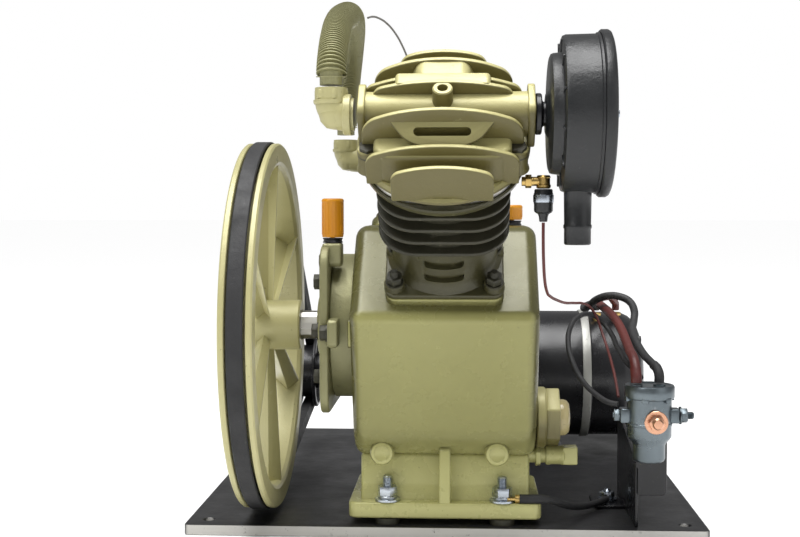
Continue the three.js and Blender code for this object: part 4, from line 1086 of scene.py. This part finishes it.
def makeSaddle():
    x0, x1, y0, y1 = saddle["foot"]
    floor = plateTop
    bm = bmesh.new()
    plateShape, slots = bmesh.new(), bmesh.new()
    slab(plateShape, block(x0, x1, y0, y1, 8), "Z", floor + 0.3, floor + 6, edge=1.2)
    for x in (26, 114):
        for y in (268, 392):
            slab(slots, block(x - 9, x + 9, y - 5, y + 5, 4.9), "Z", floor - 4, floor + 12, steps=8)
    subtract(bm, plateShape, slots)
    for x in saddle["cheeks"]:
        cheek, rounding = bmesh.new(), bmesh.new()
        slab(cheek, [(278, floor + 5), (382, floor + 5), (382, -119, 4), (278, -119, 4)], "X", x,
             x + saddle["thick"], edge=0.8)
        turned(rounding, disc(77, x - 9, x + 19), "X", (0, *motorAxis), 96)
        subtract(bm, cheek, rounding)
    finishPiece("motorSaddle", bm, "blackPaint", ["motor_saddle"])
    bm = bmesh.new()
    for x in (26, 114):
        for y in (268, 392):
            nut(bm, smallNut, "Z", (x, y, 0), floor + 8, floor + 15, turn=x + y, washer=10)
    finishPiece("motorFootBolts", bm, "zincPlate")


makeMotor()
makeSaddle()
print("motor ready")


# Contactor: can, capped coil body, clamp, side lugs and studs
contactor = {"x": 186, "y": -86, "cap": -44, "body": 20}


def makeContactor():
    x, y, cap, r = (contactor[key] for key in ("x", "y", "cap", "body"))
    at = (x, y, 0)
    bm = bmesh.new()
    turned(bm, [(0, -115), (12, -115), (13.4, -114.2), (14.5, -112), (14.5, -100), (15.2, -98),
                (r - 1, -93.4), (r, -91.6), (r, -82), (r + 0.7, -81.4), (r + 0.7, -79.6), (r, -79),
                (r, cap - 13.5), (r + 1, cap - 12.8), (r + 2, cap - 12.6), (r + 2.5, cap - 11.6),
                (r + 2.5, cap - 2.4), (r + 1.6, cap - 1), (r - 0.6, cap - 0.6), (r - 2, cap - 1.8),
                (r - 3, cap - 2), (0, cap - 1.6)], "Z", at, 72)
    for side in (-1, 1):
        low, high = sorted((side * (r - 4), side * (r + 6.8)))
        slab(bm, block(x + low, x + high, y - 7, y + 7, 2), "Z", -79.5, -66.5, edge=1.4)
    slab(bm, block(x - 12, x + 12, -98, -62, 3), "Y", y + r - 4, y + r + 1, edge=1)
    for i in range(6):
        spin = Matrix.Translation(at) @ Matrix.Rotation(math.tau * (i + 0.2) / 6, 4, "Z")
        slab(bm, block(r - 1, r + 2.9, -3, 3, 1), "Z", cap - 15.5, cap - 11, edge=0.6, matrix=spin)
    for tx, ty in ((-12.5, -5), (8.5, -2)):
        turned(bm, [(0, cap - 3), (5.4, cap - 3), (5.6, cap - 2), (5.4, cap), (0, cap)], "Z",
               (x + tx, y + ty, 0), 32)
    turned(bm, [(0, y - r + 2.5), (8.4, y - r + 2.5), (8.6, y - r - 0.2), (7.8, y - r - 0.9),
                (0, y - r - 0.9)], "Y", (x + 3, 0, -76), 40)
    turned(bm, [(0, x - r - 13), (2.6, x - r - 13), (3, x - r - 12), (3, x - r), (0, x - r)], "X",
           (0, y, -73), 24)
    nut(bm, 10.4, "X", (0, y, -73), x - r - 12, x - r - 7.2, turn=20)
    finishPiece("contactorBody", bm, "contactorZinc", ["contactor_body"])
    stud = (x + 3, 0, -76)
    bm = bmesh.new()
    turned(bm, [(0, y - r - 3.9), (10, y - r - 3.9), (10.5, y - r - 3.4), (10.5, y - r - 2),
                (10, y - r - 1.5), (0, y - r - 1.5)], "Y", stud, 48)
    nut(bm, smallNut, "Y", stud, y - r - 9.4, y - r - 3.9, turn=25)
    turned(bm, [(0, y - r - 9), (4.6, y - r - 9), (5, y - r - 9.8), (4.4, y - r - 10.4), (5, y - r - 11),
                (4.4, y - r - 11.6), (5, y - r - 12.2), (4.4, y - r - 12.8), (5, y - r - 13.4),
                (4.4, y - r - 14.2), (3.8, y - r - 15.4), (0, y - r - 15.6)], "Y", stud, 40)
    finishPiece("contactorStud", bm, "copperStud", ["contactor_front_stud"])
    side = (0, y, -73)
    bm = bmesh.new()
    turned(bm, disc(8, x + r + 7.1, x + r + 8.5), "X", side, 40)
    nut(bm, 12, "X", side, x + r + 8.5, x + r + 14, turn=9)
    thread(bm, 3.5, 1, "X", side, x + r + 13, x + r + 20)
    finishPiece("contactorSideStud", bm, "contactorZinc", ["contactor_side_stud"])


def makeBracket():
    floor = plateTop
    bm = bmesh.new()
    slab(bm, [(-64, floor + 0.3), (74, floor + 0.3), (74, floor + 89, 5), (-64, floor + 61, 5)], "X", 177,
         180, edge=0.7)
    slab(bm, [(177.5, floor + 30, 3), (206, floor + 30, 5), (206, floor + 100, 5), (177.5, floor + 100, 3)],
         "Y", -64, -61, edge=0.7)
    foot, hole = bmesh.new(), bmesh.new()
    slab(foot, [(178, 8), (178, 58), (146, 58, 6), (146, 8, 6)], "Z", floor + 0.3, floor + 3, edge=0.6)
    turned(hole, disc(5, floor - 5, floor + 9), "Z", (162, 32, 0), 32)
    subtract(bm, foot, hole)
    finishPiece("contactorBracket", bm, "blackPaint", ["contactor_bracket"])
    bm = bmesh.new()
    nut(bm, smallNut, "Z", (162, 32, 0), floor + 5.4, floor + 12, turn=31, washer=10)
    thread(bm, 4, 1.25, "Z", (162, 32, 0), floor + 11, floor + 15)
    finishPiece("bracketBolt", bm, "zincPlate")


makeContactor()
makeBracket()
print("contactor ready")


# Base plate, with its bare front edge, and the spacers under the pump's foot
basePlate = {"half": 245, "front": -75, "rear": 445, "thick": 10, "corner": 6, "hole": 5.5}


def makeBasePlate():
    half, y0, y1, floor = basePlate["half"], basePlate["front"], basePlate["rear"], plateTop
    corner, low = basePlate["corner"], floor - basePlate["thick"]
    sheet, holes, bm = bmesh.new(), bmesh.new(), bmesh.new()
    slab(sheet, [(half, y0, corner), (half, y1, corner), (-half, y1, corner), (-half, y0, corner)], "Z",
         low, floor, edge=1, segments=2)
    spots = [(x, y, basePlate["hole"]) for x in (-half + 20, half - 20) for y in (y0 + 22, y1 - 22)]
    for x, y, radius in spots:
        turned(holes, [(0, low - 5), (radius, low - 5), (radius, floor - 0.8), (radius + 1.4, floor + 0.6),
                       (radius + 1.4, floor + 5), (0, floor + 5)], "Z", (x, y, 0), 40)
    subtract(bm, sheet, holes)
    finishPiece("basePlateSheet", bm, "blackPlate", ["base_plate"])
    bm = bmesh.new()
    wide, deep = footBolts["spread"]
    for x in (-wide, wide):
        for y in (-deep, deep):
            turned(bm, disc(12, floor + 0.2, -176.3), "Z", (x, y, 0), 40)
    finishPiece("footSpacers", bm, "darkIronAndFinShade")


makeBasePlate()


# Sight glass, drain and pressure switch on the filter's side of the pump
def makeSightGlass():
    at = (0, -36, -84)
    bm = bmesh.new()
    turned(bm, [(17.5, 86.3), (27.6, 86.3), (29, 87.4), (29, 93.6), (27.4, 95.4), (17.5, 95.5),
                (17.5, 86.3)], "X", at, 64)
    body, bore = bmesh.new(), bmesh.new()
    nut(body, 50, "X", at, 95, 108, turn=7)
    turned(bore, disc(17.5, 90, 112), "X", at, 48)
    subtract(bm, body, bore)
    # The bezel takes the same lit pale paint: painted light, with painted shade on its downward faces
    finishPiece("sightGlassBezel", bm, "litPalePaint", ["sight_glass_bezel"])
    bm = bmesh.new()
    turned(bm, [(0, 97), (17, 97), (17.2, 97.6), (17.2, 112), (16.4, 115), (14, 117.2), (9, 118), (0, 118)],
           "X", at, 64)
    finishPiece("sightGlassLens", bm, "sightLens", ["sight_glass_lens"])


def makeDrain():
    at = (0, -30, -121)
    bm = bmesh.new()
    turned(bm, [(5, 76), (7.7, 76), (7.7, 107), (7, 108), (5, 108), (5, 76)], "X", at, 40)
    nut(bm, 20, "X", at, 86.4, 91, turn=10)
    # The drain's olive paint carries the same painted shade and painted light
    finishPiece("drainPipe", bm, "olivePaint", ["drain_pipe"])
    bm = bmesh.new()
    turned(bm, [(8, 96), (9, 96), (9.6, 97), (9.6, 100), (9.2, 101), (9.2, 110), (9.6, 111), (9.6, 113),
                (8.8, 114), (0, 114), (0, 110), (8, 110), (8, 96)], "X", at, 48)
    slab(bm, block(-38.4, -21.6, -129.4, -112.6, 1.5), "X", 112, 126, edge=1)
    finishPiece("drainPlug", bm, "olivePaint", ["drain_plug"])


def makeSwitch():
    at = (83, -185, 0)
    bm = bmesh.new()
    swept(bm, [(65, -185, 137), (74, -185, 137), (83, -185, 137)], 3.8, 8)
    turned(bm, [(0, 131), (5, 131), (6, 132), (6, 134), (5.4, 134.6), (5.4, 139.6), (6, 140.2), (5, 142),
                (0, 142)], "Z", at, 40)
    nut(bm, 10, "X", (0, -185, 137), 68, 73, turn=12)
    finishPiece("switchFitting", bm, "yellowBrass", ["switch_fitting"])
    bm = bmesh.new()
    turned(bm, [(0, 103.6), (3, 103.6), (3.4, 104.2), (3.8, 108), (4.6, 110), (7.2, 111.6), (7.8, 113),
                (7.8, 118), (8, 118.6), (8, 127), (7.6, 127.6), (7.6, 129.4), (7, 130.6), (0, 130.6)], "Z",
           at, 48)
    finishPiece("pressureSwitch", bm, "blackPlastic", ["pressure_switch"])
    bm = bmesh.new()
    turned(bm, [(7, 119.6), (8.3, 119.6), (8.5, 120.2), (8.5, 125.4), (8.3, 126), (7, 126), (7, 119.6)],
           "Z", at, 48)
    finishPiece("switchCollar", bm, "zincPlate")


makeSightGlass()
makeDrain()
makeSwitch()


# Cable ends: sleeves and the ground cable's lug
def makeCableEnds():
    bm = bmesh.new()
    swept(bm, [(70, -61.6, -157), (78, -62, -157), (88, -61.2, -157), (96, -58.5, -158.3)], 4.4, 8)
    swept(bm, [(194.4, -87.5, -42.5), (194.5, -87, -37), (193.5, -81.2, -31.2), (191.5, -74, -28.6)], 4.5, 8)
    finishPiece("cableSleeves", bm, "blackRubber")
    bm = bmesh.new()
    swept(bm, [(173.5, -91, -42.4), (173.4, -90.6, -37), (173.1, -86.5, -30)], 5, 8)
    finishPiece("redSleeve", bm, "redSleeving")
    bm = bmesh.new()
    slab(bm, [(58, -64.5, 2), (70, -64.5, 1), (70, -57.5, 1), (58, -57.5, 2)], "Z", -158.1, -155.7, edge=0.5)
    turned(bm, disc(3.9, 66, 71), "X", (0, -61.2, -157), 24)
    finishPiece("groundLug", bm, "yellowBrass")


makeCableEnds()
print("fittings ready")


# Valve plates
valvePlates = [("frontValvePlate", "front_valve_plate", frontBank, 228.3, 236.9, 62),
               ("rearValvePlate", "rear_valve_plate", rearBank, 198.3, 206.9, 50)]


def makeValvePlate(name, node, matrix, low, high, half):
    bm = bmesh.new()
    slab(bm, rectangle(half, half, half * 0.75), "Z", low, high, edge=0.5, segments=2, steps=16)
    finishPiece(name, bm, "machinedSteel", [node], matrix=matrix)


for name, node, matrix, low, high, half in valvePlates:
    makeValvePlate(name, node, matrix, low, high, half)


# Head bolts round both flanges
headBolts = {
    "front": ([(-61, -31), (61, -31)], 20),
    "rear": ([(-49, -22), (49, -22), (-49, 18), (49, 18)], 6.8),
}


def makeHeadBolts(name, look, places, lift):
    low = look["base"] + lift
    bm = bmesh.new()
    for i, (x, y) in enumerate(places):
        nut(bm, smallNut, "Z", (x, y, 0), low, low + 8, turn=i * 23)
        turned(bm, disc(8.5, low - 1.6, low), "Z", (x, y, 0), 32)
    finishPiece(name, bm, "darkIronAndFinShade", matrix=look["matrix"])


for name, (places, lift) in headBolts.items():
    makeHeadBolts(name + "HeadBolts", heads[name], places, lift)
print("bolts ready")
